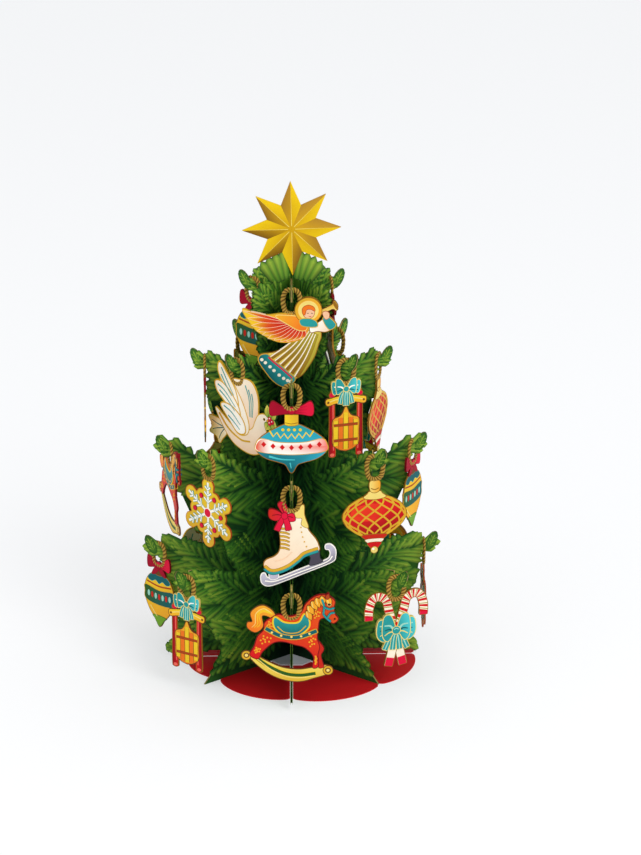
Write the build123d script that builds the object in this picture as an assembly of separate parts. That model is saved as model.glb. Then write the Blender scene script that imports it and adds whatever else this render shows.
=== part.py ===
# Pop-up paper tree that stands open: eight V-folded fin sheets round one axis, skirt panels, a lock plate,
# a star and hang-on card ornaments. Millimetres, +Z up, the front fin towards -Y, the floor at Z = 0.
import os
from math import cos, pi, radians, sin

from build123d import *

# Card stock
PLY = 0.5                # one ply of a fin sheet
CARD = 1.0               # star and ornament card
SKIRT = 0.6              # skirt panel card
PLATE = 0.8              # lock plate card

# Fins, as degrees from the front towards the right hand
FIN_AZIMUTHS = (0, 52, 92, 137, 180, 226, 272, 308)
STAR_FINS = (92, 272)    # the straight pair of fins that carries the star
PLACES = ("front", "right_front", "right", "right_back", "back", "left_back", "left", "left_front")
TIER_NAMES = ("low", "middle", "upper", "top")

# Hooks of a long fin and of a short fin from the bottom up: radius and height of the notch floor
LONG_REACH = 79.5        # lowest and widest hook, which sets the width of the whole tree
SHORT_REACH = 78
LONG_HOOKS = ((LONG_REACH, 74), (72, 138), (51, 192.5), (22.5, 240.5))
SHORT_HOOKS = ((SHORT_REACH, 72), (61.5, 144), (40, 198.5))
# Recesses between the tiers from the bottom up: the waist first, then one above each tier but the last
LONG_RECESSES = ((65, 36), (48, 72), (32, 116), (12, 176))
SHORT_RECESSES = ((50.5, 24), (40, 64), (24, 124), (13, 180))
LONG_FOOT = (75, 4.5)    # outer bottom corner of a long fin, clear of the skirt
SHORT_FOOT = (66, 0)     # outer bottom corner of a short fin, on the floor
SHORT_TOP = (27.5, 226, 238.5)  # radius, lower and upper height of a short fin's top panel
LONG_PEAK = (5.5, 6.3)   # highest needle of a long fin's top panel, inwards and up from its notch

# Hook and needle edge
NOTCH = 3.4              # width of the notch that a loop sits in
NECK = 6.4               # depth of the neck below the notch floor
LEAF_LONG = 6.6          # half length of the leaf tip
LEAF_WIDE = 2.9          # half width of the leaf tip
LEAF_TILT = 65           # degrees from level
LEAF_CENTRE = (4.7, 0.6)  # from the middle of the notch floor
LEAF_STEPS = 5           # chords round a leaf tip
CORNER = 4.8             # panel corner above the notch floor
TIP = 2.6                # height of a needle tip on a panel's top edge
TIP_COUNT = 3            # needle tips on one top edge

# Base
PLATE_RADIUS = 17.0
PLATE_SIDES = 8
ARCH = PLATE_RADIUS + 1.5        # the fins step over the plate inside this radius
ARCH_HEIGHT = SKIRT + PLATE
ARCH_SLANT = 1.0                 # run of the step down to the foot
SKIRT_INNER = 12.0               # skirt panels run under the plate to here
SKIRT_REACHES = (60, 66, 73, 70, 68, 65, 61, 54)  # reach of the skirt beside each fin
SKIRT_BULGE = 5.0                # further reach between two fins
SKIRT_SQUARE = 0.5               # below one fills a scallop's corners
SKIRT_GAP = 0.4                  # between a skirt panel and a ply
SKIRT_STEPS = 8                  # chords along a scallop

# Star
STAR_CENTRE = 272.0
STAR_TIP = 28.8
STAR_WAIST = 15.2
STAR_POINTS = 8
STAR_CLEAR = 1.7                 # from the fins that stay under the star to its lowest tip
TOP_LOW = STAR_CENTRE - STAR_TIP - STAR_CLEAR  # height of those fins at the axis
TOP_PLAIN = ((12.5, 1), (6.5, 0), (0, 0))      # radius, and height above that
TOP_SPRAY = ((13.5, 1), (12.8, 8.5), (9, 12.5), (6.5, 10), (4, 16.5), (0, 18.5))

# Hanging loop, measured from the point that rests on the notch floor
LOOP_HALF = 6.2
LOOP_LEG = 13.5                  # depth where the legs end
LOOP_NECK = 4.4                  # half width there
HOLE_HALF = 3.3
HOLE_SEAT = 2.0                  # half width of the hole's flat seat
HOLE_CORNER = 1.6                # height of the hole's cut corners
HOLE_DEEP = 10.3                 # neck and less than 4 mm of play


def arc_points(centre, radii, start, stop, steps):
    # Points on an ellipse from one angle to another, in degrees
    turns = [radians(start + (stop - start) * i / steps) for i in range(steps + 1)]
    return [(centre[0] + radii[0] * cos(t), centre[1] + radii[1] * sin(t)) for t in turns]


def mirrored(points):
    # A right-hand edge listed downwards, closed by its mirror image
    return list(points) + [(-u, v) for u, v in reversed(points)]


def flat(points):
    # A flat face, its outline turned anticlockwise
    after = list(points[1:]) + [points[0]]
    turn = sum(a[0] * b[1] - b[0] * a[1] for a, b in zip(points, after))
    ordered = points if turn > 0 else list(reversed(points))
    return Polygon(*ordered, align=None)


def underside(low, high, steps=3):
    # Sine edge that leaves a recess slanting and ends upright
    shares = [i / steps for i in range(steps + 1)]
    return [
        (low[0] + (high[0] - low[0]) * sin(s * pi / 2), low[1] + (high[1] - low[1]) * s) for s in shares
    ]


def needle_edge(corner, recess):
    # Top edge that falls from the corner to the recess with raised tips that die away
    steps = 2 * TIP_COUNT
    shares = [i / steps for i in range(steps)]
    return [
        (
            corner[0] + (recess[0] - corner[0]) * s,
            corner[1] + (recess[1] - corner[1]) * s ** 0.8 + TIP * (1 - s) * (i % 2),
        )
        for i, s in enumerate(shares)
    ]


def hook(radius, height):
    # Neck, upturned leaf tip and notch of one hook
    tilt = radians(LEAF_TILT)
    points = [(radius - NOTCH / 2, height - NECK)]
    for along, across in arc_points((0, 0), (LEAF_LONG, LEAF_WIDE), -140, 100, LEAF_STEPS):
        points.append((
            radius + LEAF_CENTRE[0] + along * cos(tilt) - across * sin(tilt),
            height + LEAF_CENTRE[1] + along * sin(tilt) + across * cos(tilt),
        ))
    points += [(radius + NOTCH / 2, height), (radius - NOTCH / 2, height)]
    return points


def foot(corner, waist, steps=3):
    # Skirt-like edge that draws in from the foot to the waist
    turns = [i / steps * pi / 2 for i in range(steps)]
    return [
        (waist[0] + (corner[0] - waist[0]) * (1 - sin(t)), corner[1] + (waist[1] - corner[1]) * i / steps)
        for i, t in enumerate(turns)
    ]


def fin_outline(hooks, recesses, corner, top):
    # Outline of one ply from the axis outwards along the floor, then up the tiers to the top
    points = [(0, ARCH_HEIGHT), (ARCH, ARCH_HEIGHT), (ARCH + ARCH_SLANT, corner[1])]
    points += foot(corner, recesses[0])
    for number, (radius, height) in enumerate(hooks):
        panel = (radius - NOTCH / 2, height + CORNER)
        points += underside(recesses[number], (panel[0], height - NECK))[:-1]
        points += hook(radius, height)
        if number + 1 < len(recesses):
            points += needle_edge(panel, recesses[number + 1])
        else:
            points.append(panel)
    return points + list(top)


def short_outline():
    radius, low, high = SHORT_TOP
    top = underside(SHORT_RECESSES[-1], (radius, low)) + needle_edge((radius, high), (0, TOP_LOW))
    return fin_outline(SHORT_HOOKS, SHORT_RECESSES, SHORT_FOOT, top + [(0, TOP_LOW)])


def long_outline(carries_star):
    radius, height = LONG_HOOKS[-1]
    peak = (radius - LONG_PEAK[0], height + LONG_PEAK[1])
    top = [(r, TOP_LOW + rise) for r, rise in (TOP_SPRAY if carries_star else TOP_PLAIN)]
    return fin_outline(LONG_HOOKS, LONG_RECESSES, LONG_FOOT, [peak, *top])


def outline_at(number):
    if number % 2:
        return short_outline()
    return long_outline(FIN_AZIMUTHS[number] in STAR_FINS)


def heading(azimuth):
    # Level direction of a fin
    return Vector(sin(radians(azimuth)), -cos(radians(azimuth)), 0)


def sector(number):
    # Degrees from one fin to the next
    following = (number + 1) % len(FIN_AZIMUTHS)
    return (FIN_AZIMUTHS[following] - FIN_AZIMUTHS[number]) % 360


def ply(number, side, mitre):
    # One ply on one side of a fin's middle plane, mitred at the spine
    azimuth = FIN_AZIMUTHS[number]
    leaf = extrude(Plane.XZ * flat(outline_at(number)), amount=PLY, dir=(0, side, 0))
    turned = Rot(0, 0, azimuth - 90) * leaf
    return split(turned, bisect_by=mitre, keep=Keep.BOTTOM if side > 0 else Keep.TOP)


def sheet(number):
    # One sheet: a ply of this fin and a ply of the next, folded along the axis
    following = (number + 1) % len(FIN_AZIMUTHS)
    middle = FIN_AZIMUTHS[number] + sector(number) / 2
    across = heading(middle + 90)
    mitre = Plane(origin=(0, 0, 0), x_dir=(0, 0, 1), z_dir=across)
    return ply(number, 1, mitre) + ply(following, -1, mitre)


def skirt_panel(number):
    # Floor panel between two fins, its outer edge a bulging scallop
    angle = sector(number)
    near = SKIRT_REACHES[number]
    far = SKIRT_REACHES[(number + 1) % len(SKIRT_REACHES)]
    side = PLY + SKIRT_GAP
    points = []
    for i in range(SKIRT_STEPS + 1):
        share = i / SKIRT_STEPS
        corner = near + (far - near) * share
        reach = corner + SKIRT_BULGE * sin(pi * share) ** SKIRT_SQUARE
        inset = 180 / pi * side / reach
        turn = radians(inset + (angle - 2 * inset) * share)
        points.append((reach * cos(turn), reach * sin(turn)))
    inset = 180 / pi * side / SKIRT_INNER
    for turn in (radians(angle - inset), radians(inset)):
        points.append((SKIRT_INNER * cos(turn), SKIRT_INNER * sin(turn)))
    return Rot(0, 0, FIN_AZIMUTHS[number] - 90) * extrude(flat(points), amount=SKIRT, dir=(0, 0, 1))


def lock_plate():
    disc = RegularPolygon(PLATE_RADIUS, PLATE_SIDES, rotation=180 / PLATE_SIDES)
    return Pos(0, 0, SKIRT) * extrude(disc, amount=PLATE, dir=(0, 0, 1))


def star():
    # Flat star glued to the front of the straight pair of fins
    points = []
    for i in range(2 * STAR_POINTS):
        reach = STAR_WAIST if i % 2 else STAR_TIP
        turn = radians(90 + 180 / STAR_POINTS * i)
        points.append((reach * cos(turn), STAR_CENTRE + reach * sin(turn)))
    plate = extrude(Plane.XZ * flat(points), amount=CARD, dir=(0, -1, 0))
    return Rot(0, 0, STAR_FINS[0] - 90) * Pos(0, -PLY, 0) * plate


def loop():
    # Hanging loop with a flat seat at the top of its hole
    arch = arc_points((0, -HOLE_HALF), (LOOP_HALF, LOOP_HALF), 0, 180, 6)
    return flat([(LOOP_NECK, -LOOP_LEG), *arch, (-LOOP_NECK, -LOOP_LEG)])


def loop_hole():
    corners = [(HOLE_SEAT, 0), (HOLE_HALF, -HOLE_CORNER)]
    low_corners = [(u, -HOLE_DEEP - v) for u, v in reversed(corners)]
    return flat(mirrored(corners + low_corners))


def hung(points):
    # A flat face drawn from the end of the loop's legs
    return flat([(u, v - LOOP_LEG) for u, v in points])


def bow(knot, reach, rise, drop):
    # Two bow lobes about a knot
    edge = [
        (0, knot + 3.4),
        (reach * 0.82, knot + rise),
        (reach, knot),
        (reach * 0.8, knot - drop),
        (0, knot - 2),
    ]
    return hung(mirrored(edge))


def top_bauble():
    body = [(3.8, 0.5), (3.8, -8.9), (11.5, -12.7), (17.8, -17.1), (20.8, -22.1), (19.6, -26.1),
            (14.5, -29.9), (7, -32.3), (3.6, -33.9), (0.8, -38.3)]
    return loop() + bow(-0.5, 11.8, 6.4, 4.2) + hung(mirrored(body))


def drop_bauble():
    body = [(2.8, 0.5), (2.8, -5.1), (7.4, -7.3), (10.8, -12.3), (12, -18), (11.2, -24),
            (8, -30.1), (3.6, -35.1), (0.9, -39.5)]
    return loop() + bow(0.5, 9, 4, 3) + hung(mirrored(body))


def lattice_bauble():
    bead = arc_points((0, -3), (3.2, 4.8), 0, 360, 10)[:-1]
    body = [(3.6, -6.5), (4.6, -9.7), (10, -11.7), (15.6, -15.1), (18.8, -19.7), (19.2, -23.7), (16.6, -28.5),
            (11.2, -32.9), (7.4, -35.1), (4.6, -36.9), (3.2, -41.5), (2.6, -44.1), (1.2, -46.1)]
    return loop() + hung(bead) + hung(mirrored(body))


def snowflake():
    # Six round lobes on a disc: at each angle the farther of the disc and the nearest lobe
    centre = -20.7
    disc = 15.2
    lobe = 4.9
    lobe_out = 16.6
    samples = 48
    points = []
    for i in range(samples):
        turn = 2 * pi * i / samples
        off = (turn + pi / 6) % (pi / 3) - pi / 6
        half_chord = lobe ** 2 - (lobe_out * sin(off)) ** 2
        reach = lobe_out * cos(off) + half_chord ** 0.5 if half_chord > 0 else disc
        points.append((reach * sin(turn), centre + reach * cos(turn)))
    return loop() + hung(points)


def sled():
    crossbar = [(0, -4.5), (6, -6.1), (11.4, -7.9), (12.5, -10.5), (11.2, -12.7), (6, -11.3), (0, -12.5)]
    deck = [(0, -14.1), (2, -17.3), (3.8, -19.5), (8, -21.5), (8, -36.5), (4.4, -40.1), (0, -41.3)]
    runner = [(7.2, -4.9), (9.9, -4.9), (10.4, -41.7), (9.6, -44.7), (6.6, -44.7), (6, -41.7)]
    other = [(-u, v) for u, v in runner]
    frame = hung(mirrored(crossbar)) + hung(mirrored(deck)) + hung(runner) + hung(other)
    return loop() + bow(-2.5, 9.2, 4.8, 4.4) + frame


def skate():
    boot = [(-7.8, -7.5), (-5.4, 0.5), (2.6, 0.9), (7.2, 4.9), (6.8, -1.5), (9.8, -11.5), (14.6, -18.3),
            (15.7, -23.3), (9.2, -25.7), (5.5, -27.5), (2.2, -31.9), (-3.4, -35.3), (-9, -37.7),
            (-13.8, -37.1), (-16, -32.9), (-14.6, -29.7), (-7.2, -26.1), (-6, -20.5)]
    front_post = [(-13, -36.5), (-8.4, -36.9), (-7.8, -41.3), (-12.6, -42.9)]
    back_post = [(9.2, -25.1), (15.4, -23.1), (16.6, -31.9), (10.8, -33.7)]
    blade = [(-18, -41.3), (-17.4, -38.5), (-15, -37.9), (-14, -40.9), (-7, -40.7), (10.7, -33.3),
             (20.4, -29.9), (22.2, -26.9), (21.6, -23.5), (19.4, -22.7), (19.8, -20.5), (22.6, -20.1),
             (25, -23.1), (25.2, -27.5), (23, -30.9), (-7, -44.3), (-13.4, -46.3), (-16.8, -44.7)]
    ribbon = [(-13, 1.7), (-8.2, 0.5), (-7.6, 5.1), (-4.4, 6.9), (-4, 0.1), (1.8, -1.1),
              (1.6, -5.5), (-1.4, -5.9), (0.2, -10.9), (-2.6, -11.7), (-4.6, -7.3), (-6.8, -11.9),
              (-9.4, -10.9), (-8.8, -4.9), (-12.6, -3.5)]
    return loop() + hung(boot) + hung(front_post) + hung(back_post) + hung(blade) + hung(ribbon)


def horse():
    body = [(5.4, 3.9), (8.4, 9.7), (13.6, 14.9), (19.4, 15.8), (25.2, 12.1), (24.4, 7.5), (24.8, 3.5),
            (27, 0.1), (23.4, -2.3), (19.8, 1.1), (15.8, -0.1), (14.9, -5.5), (14.5, -12.1),
            (18.8, -18.9), (16.8, -23.1), (18.8, -29.9), (12.2, -30.9), (13.6, -23.7), (6.2, -16.7),
            (-2, -15.9), (-7.7, -11.5), (-15.8, -14.5), (-18.4, -20.9), (-24.4, -20.9), (-23.4, -16.9),
            (-19.8, -10.9), (-16, -6.9), (-15.4, -2.3), (-11.6, 0.5), (-7.4, 3.3)]
    tail = [(-9, -0.5), (-14.2, 2.7), (-17.6, 2.9), (-17, -4.7), (-21, -7.9), (-25.2, -5.3),
            (-25.4, -2.1), (-22.8, -1.1), (-23.6, 3.9), (-20, 7.7), (-15.6, 8.5), (-10.6, 4.9)]
    upper = [(-23, -19.9), (-15.8, -25.1), (-6.1, -29.8), (3.4, -31.4), (11.3, -30.4), (19.6, -29.1)]
    lower = [(23.4, -32.1), (22, -35.5), (18.2, -35.9), (6.5, -40), (0.4, -40), (-7.7, -37.9),
             (-15.8, -33.1), (-23.6, -25.5), (-27.4, -25.5), (-29, -22.7), (-27.2, -20.3)]
    return loop() + hung(body) + hung(tail) + hung(upper + lower)


def angel():
    halo = arc_points((9.7, 2.7), (8, 8), 0, 360, 14)[:-1]
    wing = [(-28.6, 3.5), (-20.6, -0.2), (-13.7, -1), (-5, 1.1), (5, 1.5), (10, -3.5), (5, -15.5),
            (-1, -16.9), (-6, -17.3), (-11.3, -15.7), (-15.8, -12.8), (-20.2, -10), (-24.6, -4.3)]
    gown = [(9, -3.5), (16.4, -3.1), (20.4, -10.3), (17.4, -12.9), (16, -17.5), (13.6, -25.3), (10, -31.7),
            (6.4, -36.7), (1.4, -40.3), (0, -43.3), (-5, -44.5), (-10.6, -40.9), (-15.6, -34.7),
            (-19.2, -28.5), (-18.8, -24.1), (-10.4, -23.3), (-4.6, -20.9), (0.6, -16.9), (4.4, -11.5)]
    arm = [(14, -4.5), (19, -1.1), (20.6, -0.1), (26, -5.9), (20.4, -10.5), (15, -8.9)]
    horn = [(16.4, 3.1), (23.2, 6.7), (24.2, 8.7), (26.8, 5.1), (26, 2.3), (24, 3.9), (17, 0.1)]
    return loop() + hung(halo) + hung(wing) + hung(gown) + hung(arm) + hung(horn)


def dove():
    near_wing = [(-13.8, 10.9), (-5.6, 2.9), (5.4, -11.5), (10, -22.5), (8.4, -29.1), (1, -30.5), (-6, -23.5),
                 (-13.4, -16.1), (-9, -13.9), (-16.4, -7.9), (-17.8, -1.9), (-12, -2.1), (-15, 5.5)]
    far_wing = [(-4, 1.5), (7.4, 4.9), (12, 4.1), (15.6, -0.5), (17.4, -6.9), (16.4, -21),
                (9, -24.5), (4, -22.5)]
    body = [(14.4, -20.5), (17.4, -14.9), (21.6, -12.9), (25.6, -14.5), (27, -16.7), (24.4, -19.9),
            (23.4, -24.5), (24, -30.5), (20, -36.9), (12.8, -40.3), (4, -39.5), (-4, -36.1), (-11.8, -28.5),
            (-17.8, -18.3), (-11.4, -21.1), (0, -28.5)]
    tail = [(-8.6, -32.9), (-14.4, -40.5), (-17.6, -36.3), (-23, -35.1), (-20.8, -29.5), (-23.6, -24.5),
            (-10, -26.5)]
    twig = [(25.4, -14.9), (23.2, -6.5), (25.2, -5.3), (27.6, -12.5), (32.6, -7.1), (34.6, -8.3),
            (30.4, -15.9), (34.4, -22.5), (32.8, -23.5), (27.4, -18.9)]
    return loop() + hung(near_wing) + hung(far_wing) + hung(body) + hung(tail) + hung(twig)


def candy_canes():
    crook = (-10.8, -3.1)
    outer = arc_points(crook, (8.6, 9), 35, 180, 6)
    inner = arc_points(crook, (3.4, 3.8), 180, 30, 4)
    cane = [(7.6, -40.5), (6.2, -43.9), (1.6, -42.7), (-7.4, -8.1), *reversed(inner), (-14.4, -11.1),
            (-19.4, -11.3), *reversed(outer)]
    other = [(-u, v) for u, v in cane]
    tails = [(0, -19.5), (4, -24.5), (8.6, -30.9), (6, -32.9), (0, -25.5)]
    tie = [(LOOP_NECK, 1), (3, -3.5), (0, -12.5)]
    canes = hung(cane) + hung(other) + hung(mirrored(tie))
    return loop() + canes + bow(-19.1, 12, 7.4, 6.8) + hung(mirrored(tails))


# Ornaments: design, fin, tier of its hook, and turn on the hook in degrees
HANGINGS = (
    ("horse", "front", "low", 0), ("skate", "front", "middle", 0), ("top_bauble", "front", "upper", 0),
    ("angel", "front", "top", 0),
    ("candy_canes", "right_front", "low", -35), ("lattice_bauble", "right_front", "middle", -40),
    ("sled", "right_front", "upper", -36),
    ("snowflake", "right", "low", 0), ("drop_bauble", "right", "middle", -30),
    ("lattice_bauble", "right", "upper", -20), ("skate", "right", "top", 11),
    ("horse", "right_back", "low", 0), ("sled", "right_back", "middle", 0),
    ("snowflake", "right_back", "upper", 0),
    ("angel", "back", "low", 0), ("candy_canes", "back", "middle", 0), ("top_bauble", "back", "upper", 0),
    ("drop_bauble", "back", "top", 0),
    ("dove", "left_back", "low", 0), ("lattice_bauble", "left_back", "middle", 0),
    ("skate", "left_back", "upper", 0),
    ("drop_bauble", "left", "low", 46), ("horse", "left", "middle", 13), ("top_bauble", "left", "upper", 0),
    ("drop_bauble", "left", "top", 50),
    ("sled", "left_front", "low", 22), ("snowflake", "left_front", "middle", 6),
    ("dove", "left_front", "upper", 8),
)
DESIGNS = {
    "horse": horse, "skate": skate, "top_bauble": top_bauble, "angel": angel, "candy_canes": candy_canes,
    "lattice_bauble": lattice_bauble, "sled": sled, "snowflake": snowflake, "drop_bauble": drop_bauble,
    "dove": dove,
}


def ornament_card(design):
    # Flat ornament with its loop hole, its seat at the origin and its face towards -Y
    face = DESIGNS[design]() - loop_hole()
    return extrude(Plane.XZ * face, amount=CARD / 2, both=True)


def hang(card, place, tier, turn):
    # The seat of the loop rests on the notch floor of the hook
    fin = PLACES.index(place)
    hooks = SHORT_HOOKS if fin % 2 else LONG_HOOKS
    radius, height = hooks[TIER_NAMES.index(tier)]
    spot = heading(FIN_AZIMUTHS[fin]) * radius
    return Pos(spot.X, spot.Y, height) * Rot(0, 0, FIN_AZIMUTHS[fin] + turn) * card


os.makedirs("parts", exist_ok=True)
for number, place in enumerate(PLACES):
    export_step(sheet(number), f"parts/fin_sheet_{place}.step")
    export_step(skirt_panel(number), f"parts/skirt_panel_{place}.step")
export_step(lock_plate(), "parts/lock_plate.step")
export_step(star(), "parts/star.step")
cards = {design: ornament_card(design) for design in DESIGNS}
for design, place, tier, turn in HANGINGS:
    export_step(hang(cards[design], place, tier, turn), f"parts/{design}_{place}_{tier}.step")
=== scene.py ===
import bpy
import numpy as np
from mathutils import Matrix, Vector


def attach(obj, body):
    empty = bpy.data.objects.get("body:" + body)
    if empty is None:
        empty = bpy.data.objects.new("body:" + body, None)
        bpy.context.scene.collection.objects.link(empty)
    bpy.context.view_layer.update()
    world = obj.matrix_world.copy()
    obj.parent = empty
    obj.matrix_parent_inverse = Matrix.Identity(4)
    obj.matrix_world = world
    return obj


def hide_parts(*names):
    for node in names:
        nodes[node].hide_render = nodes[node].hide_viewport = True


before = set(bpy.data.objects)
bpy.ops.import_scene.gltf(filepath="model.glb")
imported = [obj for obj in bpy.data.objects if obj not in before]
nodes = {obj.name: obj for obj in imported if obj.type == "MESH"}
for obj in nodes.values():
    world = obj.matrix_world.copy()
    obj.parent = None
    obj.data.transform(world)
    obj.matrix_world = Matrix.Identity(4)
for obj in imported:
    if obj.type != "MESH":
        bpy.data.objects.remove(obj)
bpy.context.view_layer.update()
print("frame loaded:", len(nodes), "nodes")

mm = 0.001
tree = {
    "azimuths": (0, 52, 92, 137, 180, 226, 272, 308),  # degrees from the front towards the right hand
    "places": ("front", "right_front", "right", "right_back", "back", "left_back", "left", "left_front"),
    "tiers": ("low", "middle", "upper", "top"),
    "longHooks": ((79.5, 74), (72, 138), (51, 192.5), (22.5, 240.5)),  # radius and height of the notch floors
    "shortHooks": ((78, 72), (61.5, 144), (40, 198.5)),
    "ply": 0.5,
}
finCount = len(tree["places"])
upright = np.array([0, 0, 1.0])


def heading(azimuth):  # level unit vector out along a fin
    a = np.radians(azimuth)
    return np.array([np.sin(a), -np.cos(a), 0.0])


def rightHand(azimuth):  # level unit vector to the right of someone who faces the fin's outer edge
    a = np.radians(azimuth)
    return np.array([np.cos(a), np.sin(a), 0.0])


def hooksOf(fin):  # radius and height of a fin's hooks: every second fin is a short one
    return np.array(tree["shortHooks"] if fin % 2 else tree["longHooks"], float)


def ink(code, foil=0.0):  # sRGB hex to linear colour, the fourth value is its share of gold foil
    srgb = np.array([int(code[i:i + 2], 16) for i in (1, 3, 5)]) / 255
    linear = np.where(srgb <= 0.04045, srgb / 12.92, ((srgb + 0.055) / 1.055) ** 2.4)
    return np.append(linear, foil)


inks = {
    "gold": ink("#D9A92F", 0.35), "paleGold": ink("#F0D676", 0.25), "deepGold": ink("#96671F", 0.25),
    "straw": ink("#EBD35C", 0.15), "yellow": ink("#EBC62A"), "amber": ink("#EDA52B"), "orange": ink("#EA7422"),
    "rust": ink("#A8441C"), "ember": ink("#DF4E1D"), "red": ink("#C4281C"), "scarlet": ink("#CE1A1E"),
    "flame": ink("#E83A22"), "coral": ink("#EE6A5A"), "crimson": ink("#D8163A"), "berry": ink("#A00C28"),
    "wine": ink("#7C1018"), "cream": ink("#F8EBD2"), "white": ink("#FDF8EC"), "blush": ink("#F4D0AC"),
    "teal": ink("#2A9694"), "deepTeal": ink("#155F63"), "sky": ink("#30A5BC"), "aqua": ink("#4CC4C8"),
    "mint": ink("#9BD3C0"), "leaf": ink("#6FA02E"), "moss": ink("#2E5A24"), "olive": ink("#A79A2C"),
    "night": ink("#14281C"), "brown": ink("#6A4220"), "bark": ink("#3F2712"), "cordDark": ink("#54370F"),
    "cordLight": ink("#C9A148", 0.15), "silver": ink("#BDB8C8", 0.1), "slate": ink("#4A4652"), "skin": ink("#EDBB94"),
}


# outlines, all in millimetres on the card: u to the right, v up, the seat of the loop at the origin
# Catmull-Rom: from b to c, with half the line between its neighbours as the slope at each end
def spanCubic(a, b, c, d, spans):
    t = np.linspace(0, 1, spans, endpoint=False)[:, None]
    cubic = 2 * b + (c - a) * t + (2 * a - 5 * b + 4 * c - d) * t ** 2 + (3 * b - a - 3 * c + d) * t ** 3
    return (cubic / 2).reshape(-1, 2)


def curve(points, spans=6):  # closed outline of such cubics
    p = np.array(points, float)
    return spanCubic(*(np.roll(p, k, 0)[:, None, :] for k in (1, 0, -1, -2)), spans)


def openCurve(points, spans=8):  # open row of such cubics, its ends carried straight on
    p = np.array(points, float)
    p = np.vstack([2 * p[0] - p[1], p, 2 * p[-1] - p[-2]])
    return np.vstack([spanCubic(*(p[k:len(p) - 3 + k, None, :] for k in range(4)), spans), p[-2]])


def turned(x, y, u, v, degrees):  # points turned about the origin, then moved to (u, v)
    a = np.radians(degrees)
    return np.column_stack([u + x * np.cos(a) - y * np.sin(a), v + x * np.sin(a) + y * np.cos(a)])


def oval(u, v, ru, rv=None, turn=0, count=22):  # ellipse about (u, v): half widths times the cosine and the sine
    t = np.linspace(0, 2 * np.pi, count, endpoint=False)
    return turned(ru * np.cos(t), (ru if rv is None else rv) * np.sin(t), u, v, turn)


# leaf from (u, v): half width is a sine, a lean over one moves it to the tip
def drop(u, v, long, wide, turn=0, count=18, lean=0.8):
    t = np.linspace(0, 1, count)
    half = wide / 2 * np.sin(np.pi * t ** lean)
    return turned(np.concatenate([t, t[-2:0:-1]]) * long, np.concatenate([half, -half[-2:0:-1]]), u, v, turn)


# band along a path: width times one minus taper times the share of the way
def stroke(points, width, taper=0.0, smooth=True):
    p = openCurve(points) if smooth else np.array(points, float)
    t = np.gradient(p, axis=0)
    t /= np.linalg.norm(t, axis=1, keepdims=True) + 1e-9
    n = np.column_stack([-t[:, 1], t[:, 0]])
    half = width / 2 * (1 - taper * np.linspace(0, 1, len(p)))[:, None]
    return np.vstack([p + n * half, (p - n * half)[::-1]])


def grow(outline, by):  # every point moved out along the mean normal of its two edges
    p = facing(outline)
    t = np.roll(p, -1, 0) - np.roll(p, 1, 0)
    t /= np.linalg.norm(t, axis=1, keepdims=True) + 1e-9
    return p + by * np.column_stack([t[:, 1], -t[:, 0]])


def facing(outline):  # anticlockwise order, by the sign of the area
    u, v = outline[:, 0], outline[:, 1]
    area = np.sum(u * np.roll(v, -1) - np.roll(u, -1) * v)
    return outline if area > 0 else outline[::-1]


def flip(outline):  # mirror image across the card's middle
    return outline * np.array([-1, 1])


def pair(outline):  # an outline and its mirror image
    return [outline, flip(outline)]


def whole(edge):  # right-hand edge from top to bottom closed by its mirror image
    e = np.array(edge, float)
    return curve(np.vstack([e, flip(e)[::-1]]))


# a card's art is a list of fields of ink, each laid a hair above the one before on both faces
def lay(art, outlines, colour, rim=0.0, rimColour="gold", fade=None):
    for outline in outlines if isinstance(outlines, list) else [outlines]:
        if rim:
            art.append((grow(outline, rim), np.tile(inks[rimColour], (len(outline), 1))))
        share = np.zeros((len(outline), 1))
        if fade:  # the second ink grows along the line from fade[1] to fade[2]
            line = np.subtract(fade[2], fade[1])
            share = np.clip((outline - np.array(fade[1])) @ line / (line @ line), 0, 1)[:, None]
        second = inks[fade[0]] if fade else inks[colour]
        art.append((outline, inks[colour] * (1 - share) + second * share))


def bowArt(art, v, reach, tails=True):  # tails, two lobes with folds, and the knot
    lobe = curve([(0.6, v + 0.8), (reach * 0.5, v + 3.4), (reach * 0.86, v + 5.8), (reach, v + 2.4),
                  (reach * 0.94, v - 2.6), (reach * 0.5, v - 2), (0.6, v - 1.2)])
    if tails:
        lay(art, pair(curve([(0, v - 1), (reach * 0.34, v - 2.2), (reach * 0.62, v - 6.6), (reach * 0.3, v - 6),
                             (0, v - 3)])), "berry", 0.3, "wine")
    lay(art, pair(lobe), "crimson", 0.3, "wine", fade=("berry", (reach * 0.6, v), (reach * 0.1, v)))
    for k in (-1.2, 0.8, 2.8):  # folds that run into the knot
        lay(art, pair(stroke([(1.8, v + k * 0.2), (reach * 0.42, v + k * 0.8), (reach * 0.7, v + k)], 0.45, 0.8)),
            "berry")
    lay(art, oval(0, v, 1.9, 2.1), "crimson", 0.3, "wine", fade=("berry", (0, v + 2), (0, v - 2)))


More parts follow.
